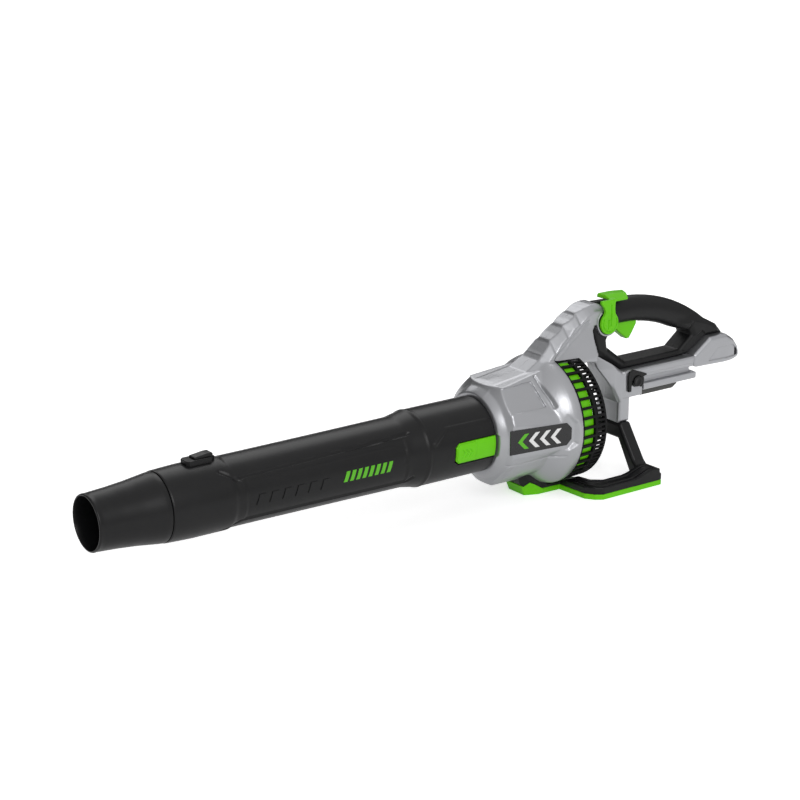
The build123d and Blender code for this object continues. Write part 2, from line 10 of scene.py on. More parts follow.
import bmesh
import bpy
import numpy as np
import openvdb
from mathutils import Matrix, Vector


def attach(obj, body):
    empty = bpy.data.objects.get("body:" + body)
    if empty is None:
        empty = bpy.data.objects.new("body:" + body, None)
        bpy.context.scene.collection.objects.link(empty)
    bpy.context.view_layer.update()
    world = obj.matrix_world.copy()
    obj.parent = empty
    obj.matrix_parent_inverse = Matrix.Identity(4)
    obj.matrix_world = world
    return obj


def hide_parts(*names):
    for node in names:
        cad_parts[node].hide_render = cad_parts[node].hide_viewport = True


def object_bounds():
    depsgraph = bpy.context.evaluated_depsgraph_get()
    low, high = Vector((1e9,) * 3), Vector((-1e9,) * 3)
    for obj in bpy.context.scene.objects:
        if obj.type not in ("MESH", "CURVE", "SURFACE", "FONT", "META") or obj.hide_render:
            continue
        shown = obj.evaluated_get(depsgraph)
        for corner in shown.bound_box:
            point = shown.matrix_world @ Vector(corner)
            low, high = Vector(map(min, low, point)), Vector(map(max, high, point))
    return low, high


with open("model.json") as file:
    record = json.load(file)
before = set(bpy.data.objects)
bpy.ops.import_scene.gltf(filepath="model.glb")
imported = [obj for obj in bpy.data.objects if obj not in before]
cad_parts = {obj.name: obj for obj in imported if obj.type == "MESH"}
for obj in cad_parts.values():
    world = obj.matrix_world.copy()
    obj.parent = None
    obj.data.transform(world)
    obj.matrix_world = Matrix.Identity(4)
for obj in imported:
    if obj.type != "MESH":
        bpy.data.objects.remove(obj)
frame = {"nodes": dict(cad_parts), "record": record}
cad_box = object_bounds()

MM = 0.001
MOUTH_X = cad_box[1].x / MM
FLOOR_Z = cad_box[0].z / MM
AXIS_Z = next(j for j in frame["record"]["behaviour"]["joints"] if j["name"] == "fan_spin")["pos_m"][2] / MM
FLOOR = FLOOR_Z - AXIS_Z


def place(behind, side, above):
    """Metres in the frame, from a point of the machine in millimetres."""
    return Vector(((MOUTH_X - behind) * MM, side * MM, (above + AXIS_Z) * MM))


# ---------------------------------------------------------------- camera, stage, light
def make_camera():
    turn, tilt = radians(35.74), radians(17.5)
    back = Vector((sin(turn) * cos(tilt), cos(turn) * cos(tilt), sin(tilt)))
    camera = bpy.data.objects.new("camera", bpy.data.cameras.new("camera"))
    camera.location = place(-897.9, 1823.9, 771.0)
    camera.rotation_mode = "QUATERNION"
    camera.rotation_quaternion = (-back).to_track_quat("-Z", "Y")
    camera.data.sensor_width = 36.0
    camera.data.lens = 90.0
    bpy.context.collection.objects.link(camera)
    bpy.context.scene.camera = camera


def softbox(name, spot, target, size, watts):
    light = bpy.data.lights.new(name, "AREA")
    light.shape = "RECTANGLE"
    light.size, light.size_y = size
    light.energy = watts
    box = bpy.data.objects.new(name, light)
    box.location = spot
    box.rotation_mode = "QUATERNION"
    box.rotation_quaternion = (Vector(target) - Vector(spot)).to_track_quat("-Z", "Y")
    bpy.context.collection.objects.link(box)


def make_world():
    """Bright overhead and towards the camera's side, dim low down behind the machine."""
    world = bpy.data.worlds.new("studio")
    world.use_nodes = True
    tree = world.node_tree
    where = tree.nodes.new("ShaderNodeTexCoord")
    facing = tree.nodes.new("ShaderNodeVectorMath")
    facing.operation = "DOT_PRODUCT"
    facing.inputs[1].default_value = (0.0, 0.55, 0.83)
    tree.links.new(where.outputs["Generated"], facing.inputs[0])
    ramp = tree.nodes.new("ShaderNodeMapRange")
    ramp.interpolation_type = "SMOOTHSTEP"
    ramp.inputs["From Min"].default_value = -0.15
    ramp.inputs["From Max"].default_value = 0.85
    ramp.inputs["To Min"].default_value = 0.03
    ramp.inputs["To Max"].default_value = 0.72
    tree.links.new(facing.outputs["Value"], ramp.inputs["Value"])
    tree.links.new(ramp.outputs["Result"], tree.nodes["Background"].inputs["Strength"])
    tree.nodes["Background"].inputs["Color"].default_value = (1.0, 1.0, 1.0, 1.0)
    bpy.context.scene.world = world


def make_stage():
    make_world()
    bpy.context.scene.view_settings.view_transform = "Standard"
    bpy.ops.mesh.primitive_plane_add(size=16.0, location=(0, 0, FLOOR_Z * MM))
    floor = bpy.context.object
    floor.name = "floor"
    paper = bpy.data.materials.new("white_paper")
    paper.use_nodes = True
    shader = paper.node_tree.nodes["Principled BSDF"]
    shader.inputs["Base Color"].default_value = (0.97, 0.97, 0.97, 1.0)
    shader.inputs["Roughness"].default_value = 1.0
    shader.inputs["Specular IOR Level"].default_value = 0.0
    shader.inputs["Emission Color"].default_value = (1.0, 1.0, 1.0, 1.0)
    glow = paper.node_tree.nodes.new("ShaderNodeMath")
    glow.operation = "MULTIPLY_ADD"
    glow.inputs[1].default_value = 0.42
    glow.inputs[2].default_value = 0.10
    seen = paper.node_tree.nodes.new("ShaderNodeLightPath")
    paper.node_tree.links.new(seen.outputs["Is Camera Ray"], glow.inputs[0])
    paper.node_tree.links.new(glow.outputs["Value"], shader.inputs["Emission Strength"])
    floor.data.materials.append(paper)
    softbox("key", (0.9, 2.6, 1.9), (0, 0, 0.05), (1.7, 1.4), 31)
    softbox("backdrop", (-1.5, -4.2, 3.0), (-1.0, -4.0, 0), (6.0, 3.0), 90)


# ---------------------------------------------------------------- shader groups and materials
def new_group(name, inputs, outputs):
    group = bpy.data.node_groups.new(name, "ShaderNodeTree")
    for label, kind, value in inputs:
        socket = group.interface.new_socket(name=label, in_out="INPUT", socket_type=kind)
        if value is not None:
            socket.default_value = value
    for label, kind in outputs:
        group.interface.new_socket(name=label, in_out="OUTPUT", socket_type=kind)
    return group, group.nodes.new("NodeGroupInput"), group.nodes.new("NodeGroupOutput")


def noise(tree, vector, scale, detail=3.0, roughness=0.55):
    node = tree.nodes.new("ShaderNodeTexNoise")
    node.inputs["Detail"].default_value = detail
    node.inputs["Roughness"].default_value = roughness
    tree.links.new(vector, node.inputs["Vector"])
    if isinstance(scale, (int, float)):
        node.inputs["Scale"].default_value = scale
    else:
        tree.links.new(scale, node.inputs["Scale"])
    return node.outputs["Fac"]


def maths(tree, operation, *values):
    node = tree.nodes.new("ShaderNodeMath")
    node.operation = operation
    for socket, value in zip(node.inputs, values):
        if isinstance(value, (int, float)):
            socket.default_value = value
        else:
            tree.links.new(value, socket)
    return node.outputs[0]


def moulded_group():
    """Spark-eroded mould texture: a fine grain, slow flow marks, and scuffs from handling."""
    group, into, out = new_group(
        "moulded_surface",
        [("Vector", "NodeSocketVector", None), ("Grain Scale", "NodeSocketFloat", 900.0),
         ("Scuffs", "NodeSocketFloat", 0.5)],
        [("Grain", "NodeSocketFloat"), ("Flow", "NodeSocketFloat"), ("Scuff", "NodeSocketFloat")])
    vector = into.outputs["Vector"]
    fine = noise(group, vector, into.outputs["Grain Scale"], 2.0)
    group.links.new(fine, out.inputs["Grain"])
    group.links.new(noise(group, vector, 9.0, 2.0), out.inputs["Flow"])
    patch = noise(group, vector, 55.0, 5.0, 0.7)
    speck = noise(group, vector, 420.0, 2.0, 0.6)
    worn = maths(group, "MULTIPLY", maths(group, "MAXIMUM", maths(group, "SUBTRACT", patch, 0.5), 0.0), 3.0)
    worn = maths(group, "MULTIPLY", worn, speck)
    group.links.new(maths(group, "MULTIPLY", worn, into.outputs["Scuffs"]), out.inputs["Scuff"])
    return group


def brushed_group():
    """Fine lines across a turned or ground metal face."""
    group, into, out = new_group(
        "ground_metal", [("Vector", "NodeSocketVector", None), ("Line Scale", "NodeSocketFloat", 1500.0)],
        [("Lines", "NodeSocketFloat"), ("Stain", "NodeSocketFloat")])
    stretch = group.nodes.new("ShaderNodeMapping")
    stretch.inputs["Scale"].default_value = (1.0, 0.04, 0.04)
    group.links.new(into.outputs["Vector"], stretch.inputs["Vector"])
    lines = noise(group, stretch.outputs["Vector"], into.outputs["Line Scale"], 3.0)
    group.links.new(lines, out.inputs["Lines"])
    group.links.new(noise(group, into.outputs["Vector"], 60.0, 4.0), out.inputs["Stain"])
    return group


def start_material(name, group):
    material = bpy.data.materials.new(name)
    material.use_nodes = True
    tree = material.node_tree
    where = tree.nodes.new("ShaderNodeTexCoord")
    effect = tree.nodes.new("ShaderNodeGroup")
    effect.node_tree = group
    tree.links.new(where.outputs["Object"], effect.inputs["Vector"])
    return material, tree, tree.nodes["Principled BSDF"], effect


def spread(tree, value, low, high):
    node = tree.nodes.new("ShaderNodeMapRange")
    node.inputs["From Min"].default_value = 0.25
    node.inputs["From Max"].default_value = 0.75
    node.inputs["To Min"].default_value = low
    node.inputs["To Max"].default_value = high
    tree.links.new(value, node.inputs["Value"])
    return node.outputs["Result"]


def blend(tree, mask, low, high):
    node = tree.nodes.new("ShaderNodeMix")
    node.data_type = "RGBA"
    tree.links.new(mask, node.inputs["Factor"])
    for socket, colour in ((node.inputs[6], low), (node.inputs[7], high)):
        if isinstance(colour, tuple):
            socket.default_value = (*colour, 1.0)
        else:
            tree.links.new(colour, socket)
    return node.outputs[2]


def relief(tree, shader, height, strength, depth):
    node = tree.nodes.new("ShaderNodeBump")
    node.inputs["Strength"].default_value = strength
    node.inputs["Distance"].default_value = depth
    tree.links.new(height, node.inputs["Height"])
    tree.links.new(node.outputs["Normal"], shader.inputs["Normal"])


def plastic(name, colour, roughness, grain=900.0, strength=0.25, scuffs=0.5, scuff_colour=None, metallic=0.0,
            coat=0.0, tint=0.10, shine=0.5):
    """Moulded plastic: colour varies slowly with the flow, roughness with grain and scuffs."""
    material, tree, shader, effect = start_material(name, MOULDED)
    effect.inputs["Grain Scale"].default_value = grain
    effect.inputs["Scuffs"].default_value = scuffs
    dark = tuple(c * (1 - tint) for c in colour)
    light = tuple(min(1.0, c * (1 + tint)) for c in colour)
    base = blend(tree, spread(tree, effect.outputs["Flow"], 0.0, 1.0), dark, light)
    worn = scuff_colour or tuple(min(1.0, c * 1.5 + 0.05) for c in colour)
    tree.links.new(blend(tree, effect.outputs["Scuff"], base, worn), shader.inputs["Base Color"])
    rough = maths(tree, "ADD", spread(tree, effect.outputs["Grain"], roughness - 0.05, roughness + 0.05),
                  maths(tree, "MULTIPLY", effect.outputs["Scuff"], 0.25))
    tree.links.new(rough, shader.inputs["Roughness"])
    shader.inputs["Metallic"].default_value = metallic
    shader.inputs["Specular IOR Level"].default_value = shine
    shader.inputs["Coat Weight"].default_value = coat
    shader.inputs["Coat Roughness"].default_value = 0.25
    relief(tree, shader, effect.outputs["Grain"], strength, GRAIN_DEPTH)
    return material


def metal(name, colour, roughness, lines=1500.0, strength=0.2):
    """Turned or ground metal: stains darken it, and fine lines vary its roughness."""
    material, tree, shader, effect = start_material(name, BRUSHED)
    effect.inputs["Line Scale"].default_value = lines
    dark = tuple(c * 0.78 for c in colour)
    stained = blend(tree, spread(tree, effect.outputs["Stain"], 0.0, 1.0), dark, colour)
    tree.links.new(stained, shader.inputs["Base Color"])
    rough = spread(tree, effect.outputs["Lines"], roughness - 0.08, roughness + 0.1)
    tree.links.new(rough, shader.inputs["Roughness"])
    shader.inputs["Metallic"].default_value = 1.0
    relief(tree, shader, effect.outputs["Lines"], strength, LINE_DEPTH)
    return material


MOULDED = moulded_group()
BRUSHED = brushed_group()
GRAIN_DEPTH = 0.00012
LINE_DEPTH = 0.00008
SILVER = plastic("silver_casing", (0.44, 0.445, 0.465), 0.33, grain=1500.0, strength=0.10, scuffs=0.2,
                 scuff_colour=(0.52, 0.52, 0.54), metallic=0.78, coat=0.1, tint=0.03)
BLACK = plastic("satin_black", (0.006, 0.006, 0.0065), 0.34, grain=1100.0, strength=0.15, scuffs=0.25,
                scuff_colour=(0.025, 0.025, 0.025), tint=0.12, shine=0.30)
GRIP = plastic("grip_black", (0.006, 0.006, 0.0065), 0.42, grain=800.0, strength=0.28, scuffs=0.25,
               scuff_colour=(0.025, 0.025, 0.025), shine=0.30)
CAGE = plastic("cage_black", (0.004, 0.004, 0.0045), 0.62, strength=0.3, scuffs=0.1,
               scuff_colour=(0.02, 0.02, 0.02), shine=0.2)
GREEN = plastic("lime_green", (0.135, 0.58, 0.002), 0.42, grain=1200.0, strength=0.12, scuffs=0.2,
                scuff_colour=(0.16, 0.54, 0.02), tint=0.05, shine=0.25)
BADGE = plastic("badge_plate", (0.008, 0.008, 0.009), 0.25, grain=600.0, strength=0.05, scuffs=0.15,
                scuff_colour=(0.03, 0.03, 0.03), coat=0.2)
MARK_WHITE = plastic("printed_white", (0.82, 0.82, 0.82), 0.45, strength=0.05, scuffs=0.2)
MARK_GREEN = plastic("printed_green", (0.10, 0.47, 0.006), 0.42, strength=0.05, scuffs=0.2)
DUCT = plastic("duct_plastic", (0.016, 0.016, 0.017), 0.55, grain=700.0, strength=0.4, scuffs=0.4,
               scuff_colour=(0.04, 0.04, 0.04))
TERMINAL = plastic("terminal_grey", (0.060, 0.060, 0.056), 0.5, scuffs=0.3)
BOARD = plastic("solder_mask", (0.02, 0.16, 0.06), 0.25, grain=500.0, strength=0.2, scuffs=0.2,
                scuff_colour=(0.5, 0.45, 0.3), coat=0.3)
RUBBER = plastic("lead_rubber", (0.03, 0.03, 0.03), 0.6, grain=700.0, strength=0.4, scuffs=0.4)
STEEL = metal("lamination_steel", (0.50, 0.50, 0.51), 0.34)
BRIGHT = metal("ground_steel", (0.68, 0.68, 0.69), 0.2, lines=2500.0, strength=0.1)
SCREW = metal("screw_steel", (0.20, 0.20, 0.21), 0.34, lines=2000.0)
COPPER = metal("winding_copper", (0.75, 0.33, 0.14), 0.3, lines=2600.0, strength=0.4)
CONTACT = metal("contact_brass", (0.83, 0.64, 0.30), 0.25, lines=2200.0, strength=0.1)
HEAT = metal("heat_aluminium", (0.78, 0.79, 0.80), 0.35, lines=1200.0)


# ---------------------------------------------------------------- meshes
def make_mesh(name, points, faces, material):
    """A piece from arrays: points in metres, faces as rows of three or four."""
    mesh = bpy.data.meshes.new(name)
    faces = np.asarray(faces, np.int32)
    mesh.vertices.add(len(points))
    mesh.vertices.foreach_set("co", np.asarray(points, np.float32).ravel())
    mesh.loops.add(faces.size)
    mesh.loops.foreach_set("vertex_index", faces.ravel())
    mesh.polygons.add(len(faces))
    mesh.polygons.foreach_set("loop_start", np.arange(0, faces.size, faces.shape[1], dtype=np.int32))
    mesh.update(calc_edges=True)
    mesh.polygons.foreach_set("use_smooth", np.ones(len(faces), bool))
    mesh.materials.append(material)
    piece = bpy.data.objects.new(name, mesh)
    bpy.context.collection.objects.link(piece)
    return piece


def finish_piece(piece, body, slot, *nodes):
    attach(piece, body)
    if nodes:
        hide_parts(*nodes)
    return piece


def trim_at_middle(piece, gap, closed):
    """Keeps what lies beyond the gap on the piece's own side of the middle plane."""
    mesh = bmesh.new()
    mesh.from_mesh(piece.data)
    side = 1 if sum(v.co.y for v in mesh.verts) > 0 else -1
    result = bmesh.ops.bisect_plane(mesh, geom=[*mesh.verts, *mesh.edges, *mesh.faces], clear_inner=True,
                                    plane_co=(0, side * gap * MM, 0), plane_no=(0, side, 0), dist=1e-6)
    rim = [e for e in result["geom_cut"] if isinstance(e, bmesh.types.BMEdge)]
    if closed:
        bmesh.ops.triangle_fill(mesh, edges=rim, use_beauty=True, normal=(0, -side, 0))
        for edge in rim:
            edge.smooth = False
    mesh.to_mesh(piece.data)
    mesh.free()
    return piece


def split_shell(name, block, left, right, material, slot, node_start):
    """The two mirrored halves of a casing, parted on the middle plane."""
    for side, distance, mirrored in (("left", left, False), ("right", right, True)):
        half = trim_at_middle(block.skin(f"{name}_{side}", distance, material, mirrored), 0.08, True)
        finish_piece(half, "housing", slot, f"{node_start}_{side}")


def whole_from_half(name, block, distance, material):
    """One piece whose right side mirrors its left, joined without a seam."""
    piece = trim_at_middle(block.skin(name, distance, material), 0.0, False)
    mesh = bmesh.new()
    mesh.from_mesh(piece.data)
    twin = bmesh.ops.duplicate(mesh, geom=[*mesh.verts, *mesh.edges, *mesh.faces])["geom"]
    for vert in (v for v in twin if isinstance(v, bmesh.types.BMVert)):
        vert.co.y *= -1
    bmesh.ops.reverse_faces(mesh, faces=[f for f in twin if isinstance(f, bmesh.types.BMFace)])
    bmesh.ops.remove_doubles(mesh, verts=[v for v in mesh.verts if abs(v.co.y) < 1e-5], dist=5e-6)
    mesh.to_mesh(piece.data)
    mesh.free()
    return piece


def face_outwards(piece):
    mesh = bmesh.new()
    mesh.from_mesh(piece.data)
    bmesh.ops.recalc_face_normals(mesh, faces=mesh.faces)
    mesh.to_mesh(piece.data)
    mesh.free()


def in_frame(rows):
    """Points of the machine, rows of (behind, side, above), as metres in the frame."""
    rows = np.asarray(rows, float)
    return np.stack([MOUTH_X - rows[:, 0], rows[:, 1], rows[:, 2] + AXIS_Z], 1) * MM


def prism(rows):
    """A closed solid between two outlines of equal count, given one after the other in rows."""
    count = len(rows) // 2
    mesh = bmesh.new()
    verts = [mesh.verts.new(p) for p in in_frame(rows)]
    mesh.faces.new(verts[:count])
    mesh.faces.new(verts[count:])
    for i in range(count):
        j = (i + 1) % count
        mesh.faces.new((verts[i], verts[j], verts[count + j], verts[count + i]))
    bmesh.ops.recalc_face_normals(mesh, faces=mesh.faces)
    return mesh


def add_piece(name, mesh):
    """A new object from an edited mesh, which is freed."""
    data = bpy.data.meshes.new(name)
    mesh.to_mesh(data)
    mesh.free()
    piece = bpy.data.objects.new(name, data)
    bpy.context.collection.objects.link(piece)
    return piece


# ---------------------------------------------------------------- carving
DIAGONAL = 0.7071


class Block:
    """A block of space cut into cells, with each cell's place as arrays."""

    def __init__(self, behind, side, above, step):
        self.step = step
        self.low = np.array([-behind[1], side[0], above[0]], np.float32)
        ahead = np.arange(-behind[1], -behind[0] + step, step, dtype=np.float32)
        self.s = -ahead[:, None, None]
        self.y = np.arange(side[0], side[1] + step, step, dtype=np.float32)[None, :, None]
        self.z = np.arange(above[0], above[1] + step, step, dtype=np.float32)[None, None, :]
        self.r = np.sqrt(self.y ** 2 + self.z ** 2)

    def skin(self, name, distance, material, mirrored=False):
        """The surface where distance is zero, as a piece. Mirrored, it is the other side's twin."""
        shape = np.broadcast_shapes(self.s.shape, self.y.shape, self.z.shape)
        solid = np.array(np.broadcast_to(distance, shape), dtype=np.float32, order="C")
        grid = openvdb.FloatGrid(3.0)
        grid.copyFromArray(solid)
        points, _, quads = grid.convertToPolygons(0.0, 0.0)
        points = points * self.step + self.low
        points[:, 0] = np.maximum(points[:, 0] + MOUTH_X, cad_box[0].x / MM)
        points[:, 1] = np.clip(points[:, 1], cad_box[0].y / MM, cad_box[1].y / MM)
        points[:, 2] = np.maximum(points[:, 2] + AXIS_Z, FLOOR_Z)
        quads = quads.astype(np.int32)
        if mirrored:
            points[:, 1] *= -1
            quads = quads[:, ::-1]
        return make_mesh(name, points * MM, quads, material)


def squared_gap(u, v, points):
    """Squared distance to the line through the points."""
    nearest = np.full(np.broadcast_shapes(u.shape, v.shape), 1e9, np.float32)
    for (u0, v0), (u1, v1) in zip(points, points[1:]):
        du, dv = u1 - u0, v1 - v0
        along = np.clip(((u - u0) * du + (v - v0) * dv) / (du * du + dv * dv), 0, 1)
        nearest = np.minimum(nearest, (u - u0 - along * du) ** 2 + (v - v0 - along * dv) ** 2)
    return nearest


def polygon(u, v, points):
    """Signed distance to a closed outline, negative inside."""
    closed = points + points[:1]
    nearest = squared_gap(u, v, closed)
    inside = np.zeros(nearest.shape, bool)
    for (u0, v0), (u1, v1) in zip(closed, closed[1:]):
        if v0 != v1:
            inside ^= ((v0 > v) != (v1 > v)) & (u < (u1 - u0) * (v - v0) / (v1 - v0) + u0)
    return np.where(inside, -1.0, 1.0) * np.sqrt(nearest)


def polyline(u, v, points):
    """Distance to an open line."""
    return np.sqrt(squared_gap(u, v, points))


def turned(block, points):
    """Signed distance to an outline of (behind, radius) turned about the air path's centre line."""
    ring = 0.5
    radii = np.arange(0, block.r.max() + 2 * ring, ring, dtype=np.float32)
    table = polygon(block.s[:, 0, :], radii[None, :], points)
    place_in = block.r[0] / ring
    low = place_in.astype(int)
    part = place_in - low
    return table[:, low] * (1 - part) + table[:, low + 1] * part


def fuse(a, b, round_by=0.0):
    """Both bodies as one, with a fillet of about round_by where they meet."""
    if not round_by:
        return np.minimum(a, b)
    near = np.maximum(round_by - np.abs(a - b), 0) / round_by
    return np.minimum(a, b) - near * near * round_by / 4


def keep(a, b, round_by=0.0):
    """What lies inside both."""
    return -fuse(-a, -b, round_by)


def cut(a, b, round_by=0.0):
    return keep(a, -b, round_by)


def bevelled(a, b, leg, round_by=0.8):
    """The part inside both, with their shared edge cut off flat."""
    return keep(keep(a, b), (a + b + leg) * DIAGONAL, round_by)


def slab(block, points, y_low, y_high, leg=0.0):
    """A side outline given width across the machine, with its edges chamfered by leg."""
    side = polygon(block.s, block.z, points)
    across = np.maximum(y_low - block.y, block.y - y_high)
    return bevelled(side, across, leg) if leg else keep(side, across, 0.8)


def round_bar(block, at, radius, y_low, y_high, round_by=1.0):
    """A round bar across the machine."""
    side = np.hypot(block.s - at[0], block.z - at[1]) - radius
    return keep(side, np.maximum(y_low - block.y, block.y - y_high), round_by)


def scored(body, line, width):
    """The body with a V-shaped groove along a line, of that half width at the skin."""
    return keep(body, (width + body - line) * DIAGONAL, 0.3)


# ---------------------------------------------------------------- housing
CHEEK = 21.0
INTAKE, INTAKE_R = 631.0, 82.3
SHOULDER = (0.745, 0.667, 66.5)
RIDGES = (613.0, 636.5, 657.5, 677.0)
FAR = 20  # added to a line's distance where it isn't to be scored
LEVER_AT = (718.5, 113.0)
LEVER_ROOM = 15.6
FIN_TOP = [(525, 49), (541, 62.5), (592, 69.5), (612, 80.8), (634, 101.0), (658, 118.5), (676, 129.6),
           (688, 135.6), (697, 137.6), (705, 137.9), (710.5, 136.6), (712.6, 133.6)]
FIN_REAR = [(LEVER_AT[0] - LEVER_ROOM * cos(radians(a)), LEVER_AT[1] + LEVER_ROOM * sin(radians(a)))
            for a in (78, 60, 42, 24, 6, -6)]
FIN_UNDER = [(698.6, 112.5), (694.9, 106.0), (696.2, 96.0), (701.8, 75.5), (700, 66), (640, 74), (631, 74),
             (600, 30), (540, 30)]
FIN = FIN_TOP + FIN_REAR + FIN_UNDER


def bell():
    """Outline of the round skin, which flares out to the intake."""
    flare = [(595 + 4 * i, 65.5 + 16.8 * sin(pi / 2 * i / 8)) for i in range(9)]
    return [(524.2, 0), (524.2, 50.3), (526.5, 52.6), (530, 55.0), (545, 63.5), (560, 65.0)] + flare + [
        (INTAKE, INTAKE_R), (INTAKE, 0)]


def flank_plane(s, y):
    """Height over the flat of the flank, which widens towards the intake."""
    return y * 0.988 - s * 0.155 - (60.5 - 534 * 0.155)


def housing(block):
    """The bell with flats laid on it, a seat for the badge, and the moulded recess of the shoulder."""
    s, y, z = block.s, block.y, block.z
    top = z - (62.0 + (s - 541.6) * 0.134)
    shoulder = SHOULDER[0] * y + SHOULDER[1] * z - SHOULDER[2]
    flank = flank_plane(s, y)
    upper = 0.919 * y + 0.394 * z - 68.3 - 0.10 * (s - 570)
    lower = 0.890 * y - 0.456 * z - 67.4 - 0.12 * (s - 570)
    under = 0.66 * y - 0.751 * z - 60.5
    bottom = -z - 68.0
    above = keep(keep(top, shoulder, 1.2), keep(upper, flank, 1.0), 1.0)
    below = keep(keep(lower, under, 1.2), bottom, 1.2)
    nose = [(524.2, 0), (524.2, 50.3), (527, 53.0), (533, 57.5), (548, 76), (570, 98), (640, 98), (640, 0)]
    hull = keep(keep(above, below, 1.0), turned(block, nose), 1.0)
    hull = keep(hull, s - 624.0 + 0.10 * z, 2.0)
    body = fuse(turned(block, bell()), hull, 1.5)
    seat = polygon(s, z, [(520, 31), (600, 31), (613, 25), (620.5, 14), (620.5, -9), (613, -17), (520, -19)])
    body = cut(body, keep(seat - 0.9 * flank, -flank), 1.0)
    across = SHOULDER[1] * y - SHOULDER[0] * z
    recess = polygon(s, across, [(536, -24), (588, -26.5), (593, 12.5), (534, 12.0)])
    floor = shoulder + 2.4
    body = cut(body, keep(recess + 0.9 * np.minimum(floor, 6), -floor, 0.5), 1.0)
    body = scored(body, polyline(s, across, [(595.5, -30), (602.0, 15)]) + FAR * (z < 24), 2.6)
    body = scored(body, polyline(s, z, [(536, -30), (612, -27)]) + FAR * (y < 20), 1.5)
    lip = turned(block, [(524.2, 0), (524.2, 51.0), (528.5, 53.2), (531, 52), (531, 0)])
    return fuse(body, lip, 0.8)


def ridges(s):
    """Ribs across the fin's top: each rises at once and falls away towards the rear."""
    return sum(np.clip((s - at + 4.5) / 1.6, 0, 1) * np.clip((at + 7.5 - s) / 9.0, 0, 1) for at in RIDGES)


def fin(block):
    s, y, z = block.s, block.y, block.z
    rib = ridges(s) * (z > 92 - 0.35 * (s - 600))
    top = polygon(s, z, FIN_TOP[:-3] + [(708, 138.0), (780, 138.0), (780, 30), (540, 30)]) - 0.9 * rib
    flank = y - (20.6 + np.clip(112 - z, 0, 40) * 0.12)
    solid = keep(bevelled(top, flank, 8.5 + 3.0 * rib, 0.5), polygon(s, z, FIN) - 0.9 * rib, 0.6)
    line = np.abs((flank + top + 16.0) * DIAGONAL) + FAR * ((y < 12) | (s < 612) | (s > 690))
    return scored(solid, line, 1.8)


def inner_room(block):
    """The hollow of the casing: air path, intake and the fin's inside."""
    bore = INTAKE_R - 2.6
    air = turned(block, [(460, 0), (460, 40.8), (532.5, 40.8), (548, 60.4), (598, 62.9), (626, bore),
                         (660, bore), (660, 0)])
    inside = [(560, 50), (594, 64), (614, 74), (637, 94), (660, 111), (686, 124), (692, 126), (690, 108),
              (690, 99), (696, 76), (694, 70), (640, 79), (622, 66), (600, 40)]
    return fuse(air, slab(block, inside, -CHEEK + 4, CHEEK - 4))


def carve_housing():
    """Bell, flats, fin and the spigot for the tube, hollowed and parted into halves."""
    block = Block((470, 722), (-2.0, 88), (-75, 145), 1.16)
    skin = fuse(housing(block), fin(block), 1.2)
    spigot = turned(block, [(472, 0), (472, 43.8), (527, 43.8), (527, 0)])
    skin = fuse(skin, spigot)
    thinnest, open_until = 2.3, 540
    room = np.maximum(inner_room(block), np.where(block.s < open_until, -9.0, skin + thinnest))
    solid = cut(skin, room)
    window = slab(block, [(460, -16.4), (460, 10.4), (525.3, 10.4), (525.3, -16.4)], 20, 60)
    split_shell("housing_shell", block, cut(solid, window), solid, SILVER, "silver_shell", "housing")


# ---------------------------------------------------------------- handle
GRIP_R = 17.0
GRIP_BEND = 218.0
GRIP_START, GRIP_TURN, GRIP_TOP = 706.0, 757.0, 119.5
GRIP_SWEEP = 0.606
LEVER_BORE = 7.05
POST = [(697.4, 111), (696.4, 100.3), (703.9, 75), (747.8, 45), (862, 46), (895.6, 65.8), (926, 65.8),
        (914, 79), (897, 88), (872, 95), (846, 95), (846, 86), (866, 79), (869.5, 71), (849, 54.8),
        (757, 54.6), (725.5, 78.4), (724, 88), (733, 103), (735, 118), (699, 118)]
HAND = [(733.5, 101.5), (724.5, 88), (726, 78.8), (757.3, 55), (848.5, 55), (869, 71.2), (865.5, 78),
        (838, 84.5), (822, 91.3), (800, 97.0), (784, 100.2), (776, 102.4), (745, 102.4)]


def grip_distance(block):
    """Distance to the grip's centre line, seen from the side: straight, then one arc."""
    s, z = block.s, block.z
    straight = polyline(s, z, [(GRIP_START, GRIP_TOP + 1.4), (GRIP_TURN, GRIP_TOP)])
    ahead, up = s - GRIP_TURN, z - (GRIP_TOP - GRIP_BEND)
    turn = np.arctan2(ahead, up)
    on_arc = np.abs(np.hypot(ahead, up) - GRIP_BEND)
    end = np.hypot(ahead - GRIP_BEND * sin(GRIP_SWEEP), up - GRIP_BEND * cos(GRIP_SWEEP))
    return np.minimum(straight, np.where(turn < 0, straight, np.where(turn > GRIP_SWEEP, end, on_arc)))


def handle(block):
    """Grip and loop in one, with the hand opening, the fin's seat and the trigger's slot cut out."""
    s, y, z = block.s, block.y, block.z
    grip = np.sqrt(grip_distance(block) ** 2 + (y * 1.04) ** 2) - GRIP_R
    body = fuse(grip, slab(block, POST, -18.3, 18.3, 5.5), 5.0)
    body = scored(body, polyline(s, z, [(756, 50.5), (843, 50.0)]) + FAR * (y < 8), 1.4)
    recess = polygon(s, z, [(847, 54.5), (886.5, 77.5), (895.5, 67.2), (863.5, 49.5)])
    floor = y - 15.8
    body = cut(body, keep(recess + 0.6 * floor, -floor, 0.5), 0.7)
    heel = polyline(s, z, [(838, 56), (850, 62), (859, 70.5), (865, 80), (868, 90)])
    body = scored(body, heel + FAR * (y < 8), 1.8)
    body = cut(body, polygon(s, z, HAND), 2.0)
    body = cut(body, polygon(s, z, FIN) - 0.4)
    slot = slab(block, [(735.5, 90), (735.5, 115), (784.5, 118.5), (784.5, 90)], -8, 8)
    return cut(body, slot, 0.8)


